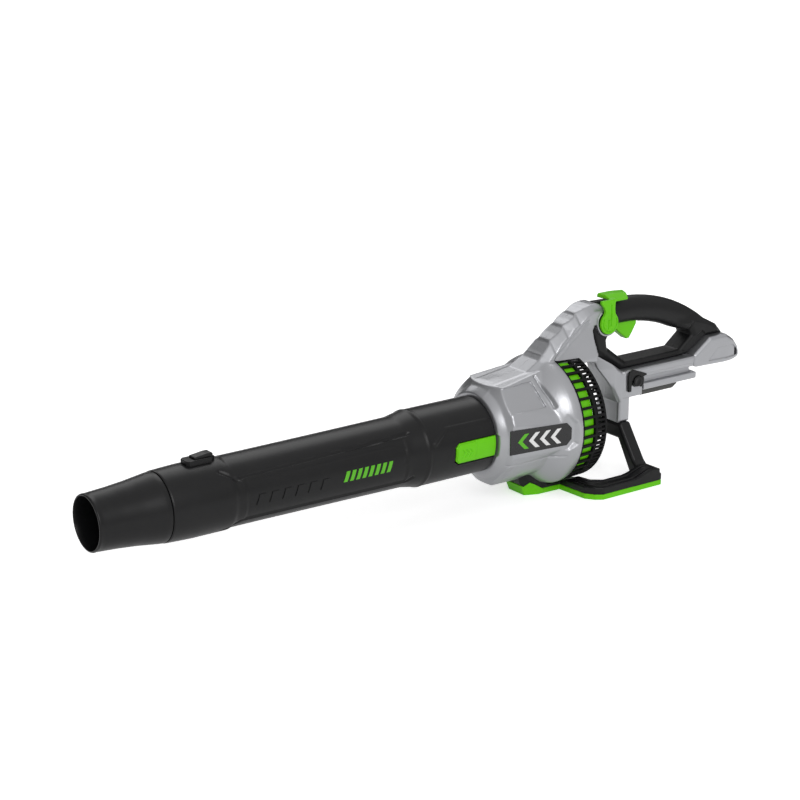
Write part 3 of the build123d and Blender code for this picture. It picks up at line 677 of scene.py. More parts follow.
def carve_handle():
    """The handle with the boss that the lever turns on, parted into halves."""
    block = Block((690, 930), (-2.0, 24), (42, 142), 0.8)
    boss = round_bar(block, LEVER_AT, 15.2, -CHEEK, CHEEK - 0.3)
    body = fuse(handle(block), boss, 1.0)
    body = cut(body, round_bar(block, LEVER_AT, LEVER_BORE, CHEEK - 5.6, CHEEK + 3))
    split_shell("handle_shell", block, body, body, GRIP, "grip_black", "handle")


# ---------------------------------------------------------------- rear frame, bay and rails
BAY_HALF = 25.0
BUTTON_AT = (766.0, 30.0)


def carve_rear_frame():
    """The web that comes down behind the cage, and the bay behind it."""
    block = Block((697, 871), (-2.0, 28), (-25, 76), 0.8)
    s, y, z = block.s, block.y, block.z
    web = [(704.2, 73.9), (747.6, 44.3), (760, 44.3), (760, -23), (741, -23), (741, 4), (730, 24),
           (713.5, 52), (711, 58), (700.9, 63.6)]
    stepped = np.abs(np.mod(z + 40, 36) - 18) * 0.12
    front = keep(slab(block, web, -23.5, 23.5, 3.2), -(s - 729) * 0.55 + (y - 19.5) * 0.83 - stepped, 0.8)
    side = [(746, 44.3), (868, 45.3), (868, 31.5), (778.5, 32.0), (778.5, 9.0), (746, 9.0)]
    bay = slab(block, side, -BAY_HALF, BAY_HALF, 1.5)
    ledge = slab(block, [(776, 36.5), (868, 36.5), (868, 30), (776, 30)], 23.6, 40)
    body = fuse(front, cut(bay, ledge, 0.8), 1.5)
    hollow = [(753, 41), (864, 41.5), (864, 34.0), (775.5, 34.5), (775.5, 12.0), (753, 12.0)]
    body = cut(body, slab(block, hollow, -21.5, 21.5))
    body = cut(body, round_bar(block, BUTTON_AT, 7.3, 18, 40))
    split_shell("rear_frame_shell", block, body, body, SILVER, "silver_shell", "rear_frame")


def carve_end_cap():
    block = Block((865, 968), (-28, 28), (20, 70), 0.8)
    s, y, z = block.s, block.y, block.z
    side = polygon(s, z, [(868.2, 45.8), (896.3, 65.6), (925, 65.6), (941, 56), (954, 45), (963, 34),
                          (966.5, 29), (965, 25.8), (940, 26.6), (874, 28.5), (868.2, 31)])
    rounding = np.hypot(np.maximum(s - 921, 0) / 43.8, y / BAY_HALF) * BAY_HALF - BAY_HALF
    body = bevelled(side, rounding, 3.0, 1.0)
    panel = polygon(s, z, [(892, 33.5), (909, 50), (940, 49.5), (951, 40), (953, 32)])
    floor = rounding + 1.4
    body = cut(body, keep(panel + 0.8 * floor, -floor, 0.4), 0.6)
    hollow = [(872, 42), (898, 60), (924, 60), (944, 46), (953, 36), (953, 32), (872, 32)]
    body = cut(body, slab(block, hollow, -19, 19))
    finish_piece(block.skin("bay_end_shell", body, SILVER), "housing", "silver_shell", "bay_end_cap")


def carve_rails():
    block = Block((780, 877), (-26, 26), (10, 33), 0.7)
    y, z = block.y, block.z
    across = np.abs(y)
    section = polygon(across, z, [(-2, 30.2), (16, 30.2), (16, 23.6), (17, 22.6), (22.6, 22.6), (22.6, 15.4),
                                  (20.8, 13.5), (-2, 13.5)])
    ends = np.maximum(782.3 - block.s, block.s - np.where(z > 23, 867.5, 874.0))
    body = keep(section, ends, 0.8)
    groove = keep(np.abs(across - 19.4) - 0.8, z - 14.8)
    pocket = np.maximum(np.maximum(across - 12.3, z - 17.6), np.maximum(785 - block.s, block.s - 850.5))
    body = cut(cut(body, groove, 0.4), pocket, 0.4)
    finish_piece(block.skin("rail_block", body, SILVER), "housing", "silver_shell", "battery_rails")


def carve_release():
    """The hook-shaped surround of the battery release, and its dished button."""
    block = Block((748, 786), (24.0, 31), (15, 49), 0.35)
    s, y, z = block.s, block.y, block.z
    around = np.hypot(s - BUTTON_AT[0], z - BUTTON_AT[1])
    hook = polygon(s, z, [(752.0, 17.5), (750.6, 38), (753.5, 44.4), (758.5, 46.6), (781.5, 37.8), (782.3, 35.6),
                          (775.5, 34.6), (768, 39.5), (757.2, 38), (756.6, 17.5)])
    ring = keep(np.abs(around - 9.6) - 2.1, -(z - 26) - (s - BUTTON_AT[0]) * 0.7, 0.5)
    hook = cut(fuse(hook, ring, 1.0), around - 7.4)
    body = keep(hook, np.maximum(25.1 - y, y - 28.2), 0.9)
    finish_piece(block.skin("release_surround", body, BLACK), "housing", "black_shell", "latch_bezel")
    block = Block((757, 775), (19.5, 31.0), (21, 39), 0.35)
    body = round_bar(block, BUTTON_AT, 6.9, 20.5, 30.0, 1.4)
    dish = np.sqrt((block.s - BUTTON_AT[0]) ** 2 + (block.z - BUTTON_AT[1]) ** 2 + (block.y - 39) ** 2) - 9.9
    button = block.skin("release_button", cut(body, dish, 0.5), BLACK)
    finish_piece(button, "battery_button", "black_shell", "battery_release_button")


# ---------------------------------------------------------------- foot
WING = [(594, -25), (594, 15), (611, 22), (644, 23.5), (647, 68), (655, 79), (664, 85), (760, 85),
        (760, 59.5), (684, 59.5), (672, 50), (667, 26), (667, -25)]
FOOT_SCREWS = ((676, 73), (748, 73))


def foot_parts(block):
    """The casing that the foot wraps, the runner round the floor, and the sloping nose."""
    s, y, z = block.s, block.y, block.z
    over = turned(block, [(524, 0), (524, 50), (545, 63.0), (598, 65.5), (627, INTAKE_R), (672, INTAKE_R - 1),
                          (672, 0)]) - 1.2
    ring = keep(polygon(s, y, WING), np.maximum(FLOOR - z, z + 75.8), 1.0)
    rise = z - FLOOR
    plan = [(594, -25), (594, 15), (611, 22), (646, 23.5), (660, 23.5), (660, -25)]
    plan = polygon(s + rise * 0.42, y - rise * 0.06, plan)
    nose = keep(plan, np.maximum(np.maximum(-rise, z + 52), s - 650), 1.0)
    return over, ring, nose


def carve_foot():
    """The green pad up to the parting, and the black frame with its arch above it."""
    block = Block((570, 764), (-2.0, 88), (FLOOR - 2, -18), 0.85)
    s, y, z = block.s, block.y, block.z
    over, ring, nose = foot_parts(block)
    parting = z - (FLOOR + 7.0)
    top = -(parting - 0.25)
    dip = np.abs(s - 591.5) * 0.80 - (z + 79.5)
    green = fuse(keep(ring, parting), keep(cut(keep(nose, 8.0 - over), dip, 0.6), s - 642), 0.6)
    arch = polygon(y, z, [(-25, -23), (24.6, -23), (53.5, -64.5), (59, -69.5), (85, -69), (85, FLOOR),
                          (50, FLOOR), (21, -43.5), (-25, -43.5)])
    legs = bevelled(arch, np.maximum(740.5 - s, s - 760), 3.0)
    ramp = [(716, -76.5), (741, -69.0), (752, -69.0), (752, FLOOR), (716, FLOOR)]
    ramp = keep(slab(block, ramp, 59.7, 85), polygon(s, y, WING), 0.8)
    black = fuse(fuse(keep(ring, top), keep(ramp, top), 1.5), keep(legs, top), 1.5)
    black = cut(black, keep(np.abs(polygon(s, y, WING) + 7.0) - 0.8, -(z + 77.0)), 1.0)
    cradle = keep(keep(nose, over - 7.7), s - 646, 0.6)
    beak = keep(keep(nose, dip + 0.3, 0.4), s - 604)
    black = fuse(black, keep(fuse(cradle, beak), top), 0.8)
    for behind, side in FOOT_SCREWS:
        bore = np.hypot(s - behind, y - side)
        green = cut(cut(green, keep(bore - 4.4, z - (FLOOR + 4)), 0.3), bore - 2.1)
        black = cut(black, keep(bore - 2.1, z - (FLOOR + 13)))
    pad = whole_from_half("foot_pad", block, cut(green, over, 0.4), GREEN)
    finish_piece(pad, "housing", "green_plastic", "base_pad")
    rest = whole_from_half("foot_frame", block, cut(black, over, 0.4), BLACK)
    finish_piece(rest, "housing", "black_shell", "base_frame")


# ---------------------------------------------------------------- small carved pieces
TRIGGER_PIN = (741, 108)


def carve_trigger():
    block = Block((735, 784), (-9, 9), (79, 114), 0.5)
    finger = [(738.2, 111), (738.2, 104), (743, 103), (744.5, 98), (752, 91.2), (760, 85), (764.8, 81.2),
              (768.8, 81.6), (773.5, 88), (780.4, 99.5), (780.4, 104.3), (752, 111)]
    body = slab(block, finger, -7.0, 7.0, 1.2)
    dish = polyline(block.s, block.z, [(744, 94), (752, 87.0), (762, 79)]) - 2.0
    body = cut(body, keep(dish, np.abs(block.y) - 4.5, 1.0), 1.0)
    body = cut(body, round_bar(block, TRIGGER_PIN, 5.2, -2.7, 2.7, 0.0))
    body = cut(body, np.hypot(block.s - TRIGGER_PIN[0], block.z - TRIGGER_PIN[1]) - 2.05)
    finish_piece(block.skin("trigger_finger", body, GREEN), "trigger", "green_plastic", "trigger")


def carve_lever():
    """The lever's grooved disc on the cheek, its arm, and the paddle over the grip."""
    block = Block((701, 764), (-4, 29), (97, 150), 0.55)
    s, y, z = block.s, block.y, block.z
    around = np.hypot(s - LEVER_AT[0], z - LEVER_AT[1])
    inner, outer = CHEEK + 0.6, CHEEK + 5.0
    disc = keep(around - 14.2, np.maximum(inner - y, y - outer), 1.5)
    disc = cut(disc, keep(np.abs(around - 11.0) - 0.9, -(y - outer + 1.3)), 0.5)
    arm = slab(block, [(709.5, 118), (711, 129), (708.5, 134.5), (704.5, 139.0), (704.5, 143), (727, 143),
                       (726.5, 131), (728, 118)], inner, outer)
    section = polygon(y, z, [(-0.5, 141.5), (18.0, 141.5), (21.5, 140.0), (24.6, 139.4), (25.4, 141.6),
                             (13.0, 147.4), (1.0, 147.2), (-0.5, 145.0)])
    ends = np.maximum((719.0 - s) - 0.10 * (12 - y), (s - 761 + 0.52 * y) * 0.887)
    fall = z - 147.4 + np.clip(s - 737, 0, 40) * 0.10
    paddle = keep(keep(section, fall, 0.8), ends, 1.6)
    slots = fuse(np.maximum(np.abs(s - 716.0) - 1.0, np.maximum(106 - z, z - 118)),
                 np.maximum(np.abs(s - 720.0) - 1.1, np.maximum(109 - z, z - 137)))
    body = fuse(fuse(disc, arm, 1.5), paddle, 2.0)
    body = cut(body, keep(slots, -(y - outer + 1.4)), 0.5)
    body = fuse(body, round_bar(block, LEVER_AT, 4.0, CHEEK - 3, CHEEK + 1, 0.3))
    finish_piece(block.skin("lever_paddle", body, GREEN), "speed_lever", "green_plastic", "speed_lever")


def carve_lever_rim():
    """The raised lip of the casing round the lower front of the lever's disc."""
    block = Block((699, 738), (15, 25), (94, 132), 0.5)
    s, y, z = block.s, block.y, block.z
    around = np.hypot(s - LEVER_AT[0], z - LEVER_AT[1])
    proud = 0.2 + np.clip((120 - z) * 0.1, 0, 1.4)
    rim = keep(np.abs(around - 16.0) - 1.2, np.maximum(16 - y, y - CHEEK - proud), 0.6)
    rim = keep(rim, 0.80 * (s - 718) + 0.60 * (z - 113) - 2, 0.8)
    finish_piece(block.skin("lever_rim", rim, SILVER), "housing", "silver_shell")


def carve_tube_release():
    """The release in the sleeve's side: a curved plate, a raised thumb pad and three marks in it."""
    block = Block((460, 526), (38, 52), (-18, 13), 0.45)
    s, z, r = block.s, block.z, block.r
    plate = [(468.6, -15.8), (463.6, -11), (463.6, 5), (468.6, 9.8), (523.0, 9.8), (523.0, -15.8)]
    thumb = [(469, -14.6), (464.8, -10.6), (464.8, 4.6), (469, 8.6), (492.5, 8.6), (492.5, -14.6)]
    bottom = 44.1 - r
    body = keep(polygon(s, z, plate), np.maximum(bottom, r - 46.9), 0.6)
    body = fuse(body, keep(keep(polygon(s, z, thumb), r - 48.5, 1.0), bottom), 0.8)
    for at in (472, 477.5, 483):
        mark = polyline(s, z, [(at, 1.5), (at + 4.0, -3.0), (at, -7.5)]) - 0.75
        body = cut(body, keep(mark, 47.7 - r), 0.3)
    release = block.skin("tube_release", body, GREEN)
    finish_piece(release, "tube_latch", "green_plastic", "tube_release_button")


# ---------------------------------------------------------------- turned pieces
def lathe(name, outline, material, steps=192, bump=None):
    """Turns a closed outline of (behind, radius); bump(behind, angle, radius) moves the outer skin."""
    rows = []
    for s, r in outline:
        for i in range(steps):
            a = 2 * pi * i / steps
            radius = bump(s, a, r) if bump else r
            rows.append((s, radius * cos(a), radius * sin(a)))
    faces = []
    for i in range(len(outline)):
        here, there = i * steps, (i + 1) % len(outline) * steps
        for j in range(steps):
            k = (j + 1) % steps
            faces.append((here + j, here + k, there + k, there + j))
    piece = make_mesh(name, in_frame(rows), faces, material)
    face_outwards(piece)
    return piece


def between(points, step):
    """The line's points, with more of them on its long runs."""
    dense = []
    for (s0, r0), (s1, r1) in zip(points, points[1:]):
        count = max(1, round(hypot(s1 - s0, r1 - r0) / step))
        dense += [(s0 + (s1 - s0) * i / count, r0 + (r1 - r0) * i / count) for i in range(count)]
    return dense + [points[-1]]


TUBE_SKIN = [(85.6, 39.4), (85.6, 40.4), (86.4, 41.0), (100, 41.7), (118, 42.4), (160, 42.5), (163, 42.3),
             (167, 41.1), (169, 40.95), (200, 41.0), (298, 41.7), (402, 42.7), (406, 43.2), (425, 46.6),
             (430, 46.9), (470, 47.0), (521, 47.1), (523, 46.6), (523.5, 45.4)]
TUBE_BORE = [(523.5, 44.2), (468, 44.2), (464, 41.2), (405, 40.4), (130, 38.5), (85.6, 38.5)]


def tube_panels(s, a):
    """Depth of the tube's moulded lines at one station and angle; below zero where they stand proud."""
    turn = degrees(a)
    up = turn if turn <= 180 else turn - 360
    across = up if abs(up) <= 90 else (180 - up if up > 0 else -180 - up)
    depth = PANEL_DEPTH if 178 < s < 396 and -35 < across < 40 else 0.0
    for line, half, deep in TUBE_LINES:
        distance = polyline_at(s, across, line)
        if distance < half:
            groove = deep * (1.0 - (distance / half) ** 2)
            depth = max(depth, groove) if deep > 0 else groove
    return depth


PANEL_DEPTH = 0.7
# Each line as points of (behind, degrees up from the side), half its width, and its depth.
TUBE_LINES = [
    ([(152, 54), (171, 33)], 2.6, 1.8),
    ([(174, 38), (404, 46)], 2.6, 1.8),
    ([(190, 30), (380, 31), (394, 22), (394, 2)], 2.2, 1.5),
    ([(174, -38), (399, -38), (406, -30)], 2.2, 1.5),
    ([(152, -57), (174, -38)], 2.2, 1.5),
    ([(426, -90), (426, 90)], 1.8, -0.9),
    ([(434, 19), (455, 38), (516, 37)], 2.6, -1.2),
]


def polyline_at(s, angle, points):
    """Distance in millimetres from a point of the tube's skin to a line drawn on it as (behind, degrees)."""
    arc = 41.5 * pi / 180
    best = 1e9
    for (u0, v0), (u1, v1) in zip(points, points[1:]):
        du, dv = u1 - u0, (v1 - v0) * arc
        along = max(0.0, min(1.0, ((s - u0) * du + (angle - v0) * arc * dv) / (du * du + dv * dv)))
        best = min(best, hypot(s - u0 - along * du, (angle - v0) * arc - along * dv))
    return best


def make_tube():
    def shape(s, a, r):
        bore = r < 40.45 or s > 463 and r < 45
        return r if bore or s > 519 else r - tube_panels(s, a)

    piece = lathe("tube_shell", between(TUBE_SKIN, 1.7) + TUBE_BORE, BLACK, 288, shape)
    notch = [(468.5, -17.4), (461.5, -12), (461.5, 6), (468.5, 11.4), (540, 11.4), (540, -17.4)]
    take_away(piece, make_cutter("release_notch", notch, 30, 60))
    finish_piece(piece, "tube", "black_shell", "blower_tube")


def carve_button_housing():
    """The raised collar on top of the tube, with a pocket for the nozzle's button."""
    block = Block((116, 162), (-13, 13), (36, 54), 0.5)
    s, y, z = block.s, block.y, block.z
    body = polygon(s, np.abs(y), [(121, 0), (121, 6), (124.5, 9.5), (152, 9.5), (158, 5), (158, 0), (150, -3),
                                  (130, -3)])
    body = keep(body, z - 47.2, 1.2)
    body = keep(body, 40.6 - block.r)
    pocket = keep(np.maximum(np.abs(y) - 7.0, np.maximum(131.4 - s, s - 155.6)), 41.6 - z)
    body = cut(body, pocket, 0.4)
    finish_piece(block.skin("button_housing", body, BLACK), "tube", "black_shell")


def carve_nozzle_button():
    """The nozzle's button, with four thumb ridges across its sloping crown."""
    block = Block((130, 157), (-8, 8), (43, 53), 0.4)
    s, y, z = block.s, block.y, block.z
    crown = z - (49.6 + 1.8 * np.clip((s - 134) / 14, 0, 1))
    plan = np.maximum(np.abs(y) - 6.5, np.maximum(132.0 - s, s - 155.0))
    body = keep(plan, np.maximum(45.2 - z, crown), 1.4)
    for i in range(4):
        ridge = np.hypot(s - (138 + 4.2 * i), z - (51.1 + 0.55 * i)) - 0.9
        body = cut(body, keep(ridge, np.abs(y) - 4.6), 0.4)
    button = block.skin("nozzle_button", body, BLACK)
    finish_piece(button, "nozzle_button", "black_shell", "nozzle_lock_button")


def make_nozzle():
    """The tapered mouth, with the narrower collar that slides in the tube."""
    skin = [(0, 30.6), (0, 31.6), (0.5, 32.3), (1.6, 32.7), (2.6, 32.7), (3.2, 32.5), (29, 34.1), (53, 36.4),
            (78, 39.8), (83.8, 40.4), (84.6, 40.2), (84.7, 39.4)]
    bore = [(84.7, 38.2), (126, 38.2), (126, 36.2), (83, 36.2), (8, 30.4), (0.4, 30.4)]
    cone = lathe("nozzle_cone", between(skin, 4.0) + bore, BLACK)
    finish_piece(cone, "nozzle", "black_shell", "nozzle_tip")


FIN_ROOM = [(625, 73.4), (640, 73.4), (700, 63.4), (700, 110), (625, 110)]
FIN_ROOM_HALF = 21.3


def make_intake_ring():
    """The green ring behind the cage's front rods, cut away where the fin's foot goes through."""
    front = INTAKE + 0.5
    drum = [(front, 75.5), (front, 77.7), (632.0, 78.0), (650.4, 77.6), (651, 77.2), (651, 75.5)]
    ring = lathe("guard_drum", between(drum, 6.0), GREEN)
    take_away(ring, make_cutter("fin_room", FIN_ROOM, -FIN_ROOM_HALF, FIN_ROOM_HALF))
    finish_piece(ring, "housing", "green_plastic", "inlet_guard_ring")


def make_cutter(name, points, y_low, y_high):
    """A prism across the machine, to cut with."""
    return add_piece(name, prism([(s, y, z) for y in (y_low, y_high) for s, z in points]))


def take_away(piece, cutter):
    cutting = piece.modifiers.new("cut", "BOOLEAN")
    cutting.object = cutter
    cutting.operation = "DIFFERENCE"
    cutting.solver = "EXACT"
    bpy.context.view_layer.update()
    result = bpy.data.meshes.new_from_object(piece.evaluated_get(bpy.context.evaluated_depsgraph_get()))
    piece.modifiers.remove(cutting)
    piece.data = result
    bpy.data.objects.remove(cutter)
    result.set_sharp_from_angle(angle=radians(40))


# ---------------------------------------------------------------- marks on the skin
def skin_patch(outline, radius_at, lift, thickness):
    """A thin closed plate that follows the tube: outline is four corners of (behind, degrees)."""
    (a, b, c, d) = outline
    cells = 8
    top, low = [], []
    for i in range(cells + 1):
        for j in range(cells + 1):
            u, v = i / cells, j / cells
            s = (a[0] * (1 - u) + b[0] * u) * (1 - v) + (d[0] * (1 - u) + c[0] * u) * v
            angle = radians((a[1] * (1 - u) + b[1] * u) * (1 - v) + (d[1] * (1 - u) + c[1] * u) * v)
            r = radius_at(s) + lift
            top.append((s, r * cos(angle), r * sin(angle)))
            low.append((s, (r - thickness) * cos(angle), (r - thickness) * sin(angle)))
    width = cells + 1
    count = width * width
    faces = []
    for i in range(cells):
        for j in range(cells):
            q = (i * width + j, i * width + j + 1, (i + 1) * width + j + 1, (i + 1) * width + j)
            faces.append(q)
            faces.append(tuple(count + k for k in reversed(q)))
    border = [i * width for i in range(cells)] + [cells * width + j for j in range(cells)]
    border += [(cells - i) * width + cells for i in range(cells)] + [cells - j for j in range(cells)]
    for k, l in zip(border, border[1:] + border[:1]):
        faces.append((k, l, count + l, count + k))
    return top + low, faces


def patches(name, outlines, lift, thickness, material, body, slot):
    points, faces = [], []
    for outline in outlines:
        p, f = skin_patch(outline, tube_radius, lift, thickness)
        faces += [tuple(k + len(points) for k in q) for q in f]
        points += p
    piece = make_mesh(name, in_frame(points), faces, material)
    face_outwards(piece)
    piece.data.set_sharp_from_angle(angle=radians(35))
    return finish_piece(piece, body, slot)


def tube_radius(s):
    for (s0, r0), (s1, r1) in zip(TUBE_SKIN[2:], TUBE_SKIN[3:]):
        if s0 <= s <= s1:
            return r0 + (r1 - r0) * (s - s0) / (s1 - s0)
    return TUBE_SKIN[-3][1]


def slanted_bars(count, start, pitch, width, slant, low, high):
    """Corners of a row of bars, as (behind, degrees up from the side)."""
    feet = [start + pitch * i for i in range(count)]
    return [[(s, low), (s + width, low), (s + width + slant, high), (s + slant, high)] for s in feet]


def make_tube_marks():
    """Plain slanted bars: raised ones in the moulding, then a green printed row."""
    raised = slanted_bars(6, 190, 17, 9, 4, -12, 5)
    patches("moulded_bars", raised, 0.15, 1.4, BLACK, "tube", "black_shell")
    printed = slanted_bars(8, 306, 8.5, 5, 4.5, -8, 9)
    patches("printed_bars", printed, -0.20, 0.9, MARK_GREEN, "tube", "green_plastic")


def badge_height(s):
    """Side distance of the flank's flat at a station."""
    return (s * 0.155 + (60.5 - 534 * 0.155)) / 0.988


def make_badges():
    """Plain plate with a row of chevrons on each flank."""
    plate = [(533.0, -13.8), (533.0, 16.8), (611.0, 16.0), (617.5, 9.0), (617.5, -5.0), (611.0, -12.2)]
    for side, name in ((1, "left"), (-1, "right")):
        for part, outline, low, high, material, slot in badge_parts(plate):
            layers = [(s, side * (badge_height(s) + lift), z) for lift in (low, high) for s, z in outline]
            mesh = prism(layers)
            bmesh.ops.bevel(mesh, geom=mesh.edges[:], offset=0.15 * MM, segments=1, affect="EDGES")
            piece = add_piece(f"{part}_{name}", mesh)
            piece.data.materials.append(material)
            nodes = [f"side_badge_{name}"] if part == "badge_plate" else []
            finish_piece(piece, "housing", slot, *nodes)


def badge_parts(plate):
    """Name, outline, lowest and highest layer over the flank, material and slot of each part."""
    yield "badge_plate", plate, -0.6, 1.0, BADGE, "badge_black"
    for i in range(4):
        s = 543.0 + 15.0 * i
        outline = [(s, 1.5), (s + 9.0, 11.0), (s + 15.0, 11.0), (s + 6.0, 1.5), (s + 15.0, -8.0),
                   (s + 9.0, -8.0)]
        colour, slot = (MARK_GREEN, "green_plastic") if i == 0 else (MARK_WHITE, "badge_black")
        yield f"badge_chevron_{i + 1}", outline, 0.8, 1.35, colour, slot


# ---------------------------------------------------------------- cage, made by geometry nodes
def cage_tree():
    """Rods set round the intake: each is put on a ring and turned to face outwards."""
    tree = bpy.data.node_groups.new("cage_rods", "GeometryNodeTree")
    face = tree.interface
    face.new_socket(name="Geometry", in_out="OUTPUT", socket_type="NodeSocketGeometry")
    named = {}
    measures = {"Radius": 0.08, "Start": 0.0, "Width": 0.003, "Depth": 0.003, "Length": 0.04, "Middle X": 0.0,
                "Middle Z": 0.0, "Lean": 0.0, "Clear Angle": 0.0}
    inputs = [("Rods", "NodeSocketInt", 42)]
    inputs += [(label, "NodeSocketFloat", value) for label, value in measures.items()]
    inputs.append(("Material", "NodeSocketMaterial", None))
    for label, kind, value in inputs:
        socket = face.new_socket(name=label, in_out="INPUT", socket_type=kind)
        if value is not None:
            socket.default_value = value
        named[label] = socket.identifier
    add, link = tree.nodes.new, tree.links.new
    into, out = add("NodeGroupInput"), add("NodeGroupOutput")

    def calc(operation, *values):
        return maths(tree, operation, *values)

    line = add("GeometryNodeMeshLine")
    link(into.outputs["Rods"], line.inputs["Count"])
    index = add("GeometryNodeInputIndex")
    share = calc("DIVIDE", calc("MULTIPLY", index.outputs[0], 2 * pi), into.outputs["Rods"])
    angle = calc("ADD", share, into.outputs["Start"])
    spot = add("ShaderNodeCombineXYZ")
    link(into.outputs["Middle X"], spot.inputs["X"])
    across = calc("MULTIPLY", calc("SINE", angle), calc("MULTIPLY", into.outputs["Radius"], -1.0))
    link(across, spot.inputs["Y"])
    rise = calc("MULTIPLY", calc("COSINE", angle), into.outputs["Radius"])
    link(calc("ADD", rise, into.outputs["Middle Z"]), spot.inputs["Z"])
    put = add("GeometryNodeSetPosition")
    link(line.outputs["Mesh"], put.inputs["Geometry"])
    link(spot.outputs[0], put.inputs["Position"])
    near_top = calc("GREATER_THAN", calc("COSINE", angle), calc("COSINE", into.outputs["Clear Angle"]))
    drop = add("GeometryNodeDeleteGeometry")
    link(put.outputs[0], drop.inputs["Geometry"])
    link(near_top, drop.inputs["Selection"])
    size = add("ShaderNodeCombineXYZ")
    link(into.outputs["Length"], size.inputs["X"])
    link(into.outputs["Width"], size.inputs["Y"])
    link(into.outputs["Depth"], size.inputs["Z"])
    rod = add("GeometryNodeMeshCube")
    link(size.outputs[0], rod.inputs["Size"])
    turn = add("ShaderNodeCombineXYZ")
    around = add("GeometryNodeInputPosition")
    where = add("ShaderNodeSeparateXYZ")
    link(around.outputs[0], where.inputs[0])
    height = calc("SUBTRACT", where.outputs["Z"], into.outputs["Middle Z"])
    link(calc("ARCTAN2", calc("MULTIPLY", where.outputs["Y"], -1.0), height), turn.inputs["X"])
    tip = add("ShaderNodeCombineXYZ")
    link(into.outputs["Lean"], tip.inputs["Y"])
    leaning = add("GeometryNodeTransform")
    link(rod.outputs["Mesh"], leaning.inputs["Geometry"])
    link(tip.outputs[0], leaning.inputs["Rotation"])
    copies = add("GeometryNodeInstanceOnPoints")
    link(drop.outputs[0], copies.inputs["Points"])
    link(leaning.outputs[0], copies.inputs["Instance"])
    link(turn.outputs[0], copies.inputs["Rotation"])
    real = add("GeometryNodeRealizeInstances")
    link(copies.outputs[0], real.inputs[0])
    paint = add("GeometryNodeSetMaterial")
    link(real.outputs[0], paint.inputs["Geometry"])
    link(into.outputs["Material"], paint.inputs["Material"])
    link(paint.outputs[0], out.inputs[0])
    return tree, named


def rods(name, tree, named, values, material, bevel):
    """Runs the tree once and keeps its result as a plain mesh."""
    piece = bpy.data.objects.new(name, bpy.data.meshes.new(name))
    bpy.context.collection.objects.link(piece)
    work = piece.modifiers.new("rods", "NODES")
    work.node_group = tree
    for label, value in values.items():
        work[named[label]] = value
    work[named["Material"]] = material
    bpy.context.view_layer.update()
    result = bpy.data.meshes.new_from_object(piece.evaluated_get(bpy.context.evaluated_depsgraph_get()))
    piece.modifiers.remove(work)
    mesh = bmesh.new()
    mesh.from_mesh(result)
    bmesh.ops.bevel(mesh, geom=[e for e in mesh.edges], offset=bevel * MM, segments=1, affect="EDGES")
    for face in mesh.faces:
        face.material_index = 0
    mesh.to_mesh(result)
    mesh.free()
    result.materials.clear()
    result.materials.append(material)
    piece.data = result
    return piece


def make_rods():
    """The broad front rods, the fine ones between them further back, and the rear face's spokes."""
    tree, named = cage_tree()
    round_rods = {"Middle Z": AXIS_Z * MM, "Lean": -atan2(2.0, 38.0), "Clear Angle": radians(15.5)}
    front = {"Rods": 42, "Radius": 79.7 * MM, "Width": 3.5 * MM, "Depth": 3.2 * MM, "Length": 38.6 * MM,
             "Middle X": (MOUTH_X - 651.0) * MM}
    fine = {"Rods": 42, "Radius": 79.0 * MM, "Start": pi / 42, "Width": 2.8 * MM, "Depth": 2.6 * MM,
            "Length": 16.5 * MM, "Middle X": (MOUTH_X - 661.0) * MM}
    spokes = {"Rods": 21, "Radius": 47.0 * MM, "Width": 2.2 * MM, "Depth": 60.0 * MM, "Length": 2.6 * MM,
              "Middle X": (MOUTH_X - 669.4) * MM, "Lean": 0.0, "Clear Angle": 0.0}
    for name, own, bevel, nodes in (("cage_rods", front, 0.4, ["intake_cage"]),
                                    ("cage_fine_rods", fine, 0.3, []),
                                    ("cage_back_spokes", spokes, 0.3, [])):
        piece = rods(name, tree, named, {**round_rods, **own}, CAGE, bevel)
        finish_piece(piece, "housing", "black_shell", *nodes)


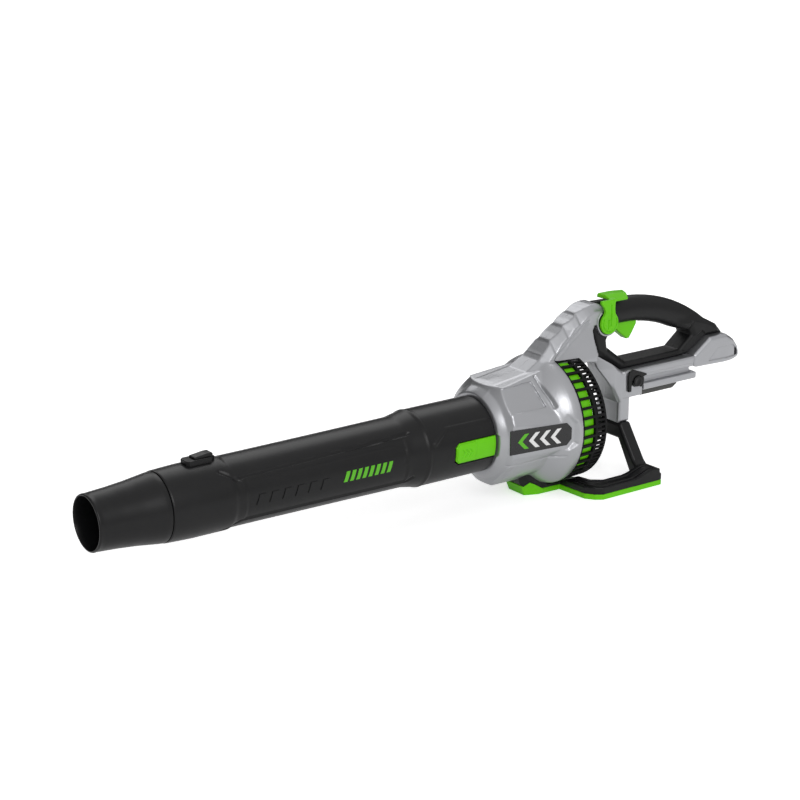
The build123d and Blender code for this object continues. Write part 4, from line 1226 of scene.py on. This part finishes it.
def make_hoops():
    """Three broad hoops that the rods run through, four thin ones behind, and the hub."""
    broad = [[(631.4, 78.2), (631.4, 80.2), (632.0, 80.6), (634, 80.6), (634, 78.2)],
             [(651.4, 76.8), (651.4, 80.9), (652.0, 81.3), (654.6, 81.2), (654.6, 76.8)],
             [(667.0, 74.5), (667.0, 80.2), (668.0, 80.6), (670.0, 80.2), (670.9, 79.2), (670.9, 74.5)]]
    thin = [[(668.2, r - 1.1), (668.2, r + 1.1), (670.9, r + 1.0), (670.9, r - 1.0)]
            for r in (24, 37, 50, 63)]
    for i, hoop in enumerate(broad + thin):
        ring = lathe(f"cage_hoop_{i + 1}", hoop, CAGE, 128)
        if hoop in broad:
            take_away(ring, make_cutter("room", FIN_ROOM, -FIN_ROOM_HALF, FIN_ROOM_HALF))
        ring.data.set_sharp_from_angle(angle=radians(30))
        finish_piece(ring, "housing", "black_shell")
    hub = [(667, 0.2), (667, 17.4), (668.5, 18), (670.6, 17.2), (671.4, 15), (671.6, 0.2)]
    finish_piece(lathe("cage_hub", between(hub, 4.0), CAGE, 96), "housing", "black_shell")


# ---------------------------------------------------------------- CAD nodes that stay
def paint_nodes():
    """Finishes for the parts that are shown as they were packed."""
    kept = {
        DUCT: ("fan_shroud", "guide_vanes", "fan_impeller"),
        STEEL: ("motor_stator", "motor_rotor"),
        COPPER: ("motor_windings",),
        BRIGHT: ("front_bearing", "rear_bearing", "fan_nut", "trigger_pin", "trigger_spring"),
        HEAT: ("rear_bearing_plate", "heat_sink"),
        TERMINAL: ("switch_module", "lever_bush", "terminal_block"),
        CONTACT: ("contact_blades",),
        BOARD: ("controller_board",),
        SCREW: ("foot_screws", "side_screws", "bay_screws"),
        RUBBER: ("motor_leads",),
    }
    for material, nodes in kept.items():
        for node in nodes:
            for slot in frame["nodes"][node].material_slots:
                slot.material = material


make_camera()
make_stage()
carve_housing()
carve_handle()
carve_rear_frame()
carve_end_cap()
carve_rails()
carve_release()
carve_foot()
carve_trigger()
carve_lever()
carve_lever_rim()
carve_tube_release()
make_tube()
carve_button_housing()
carve_nozzle_button()
make_nozzle()
make_intake_ring()
make_rods()
make_hoops()
make_tube_marks()
make_badges()
paint_nodes()
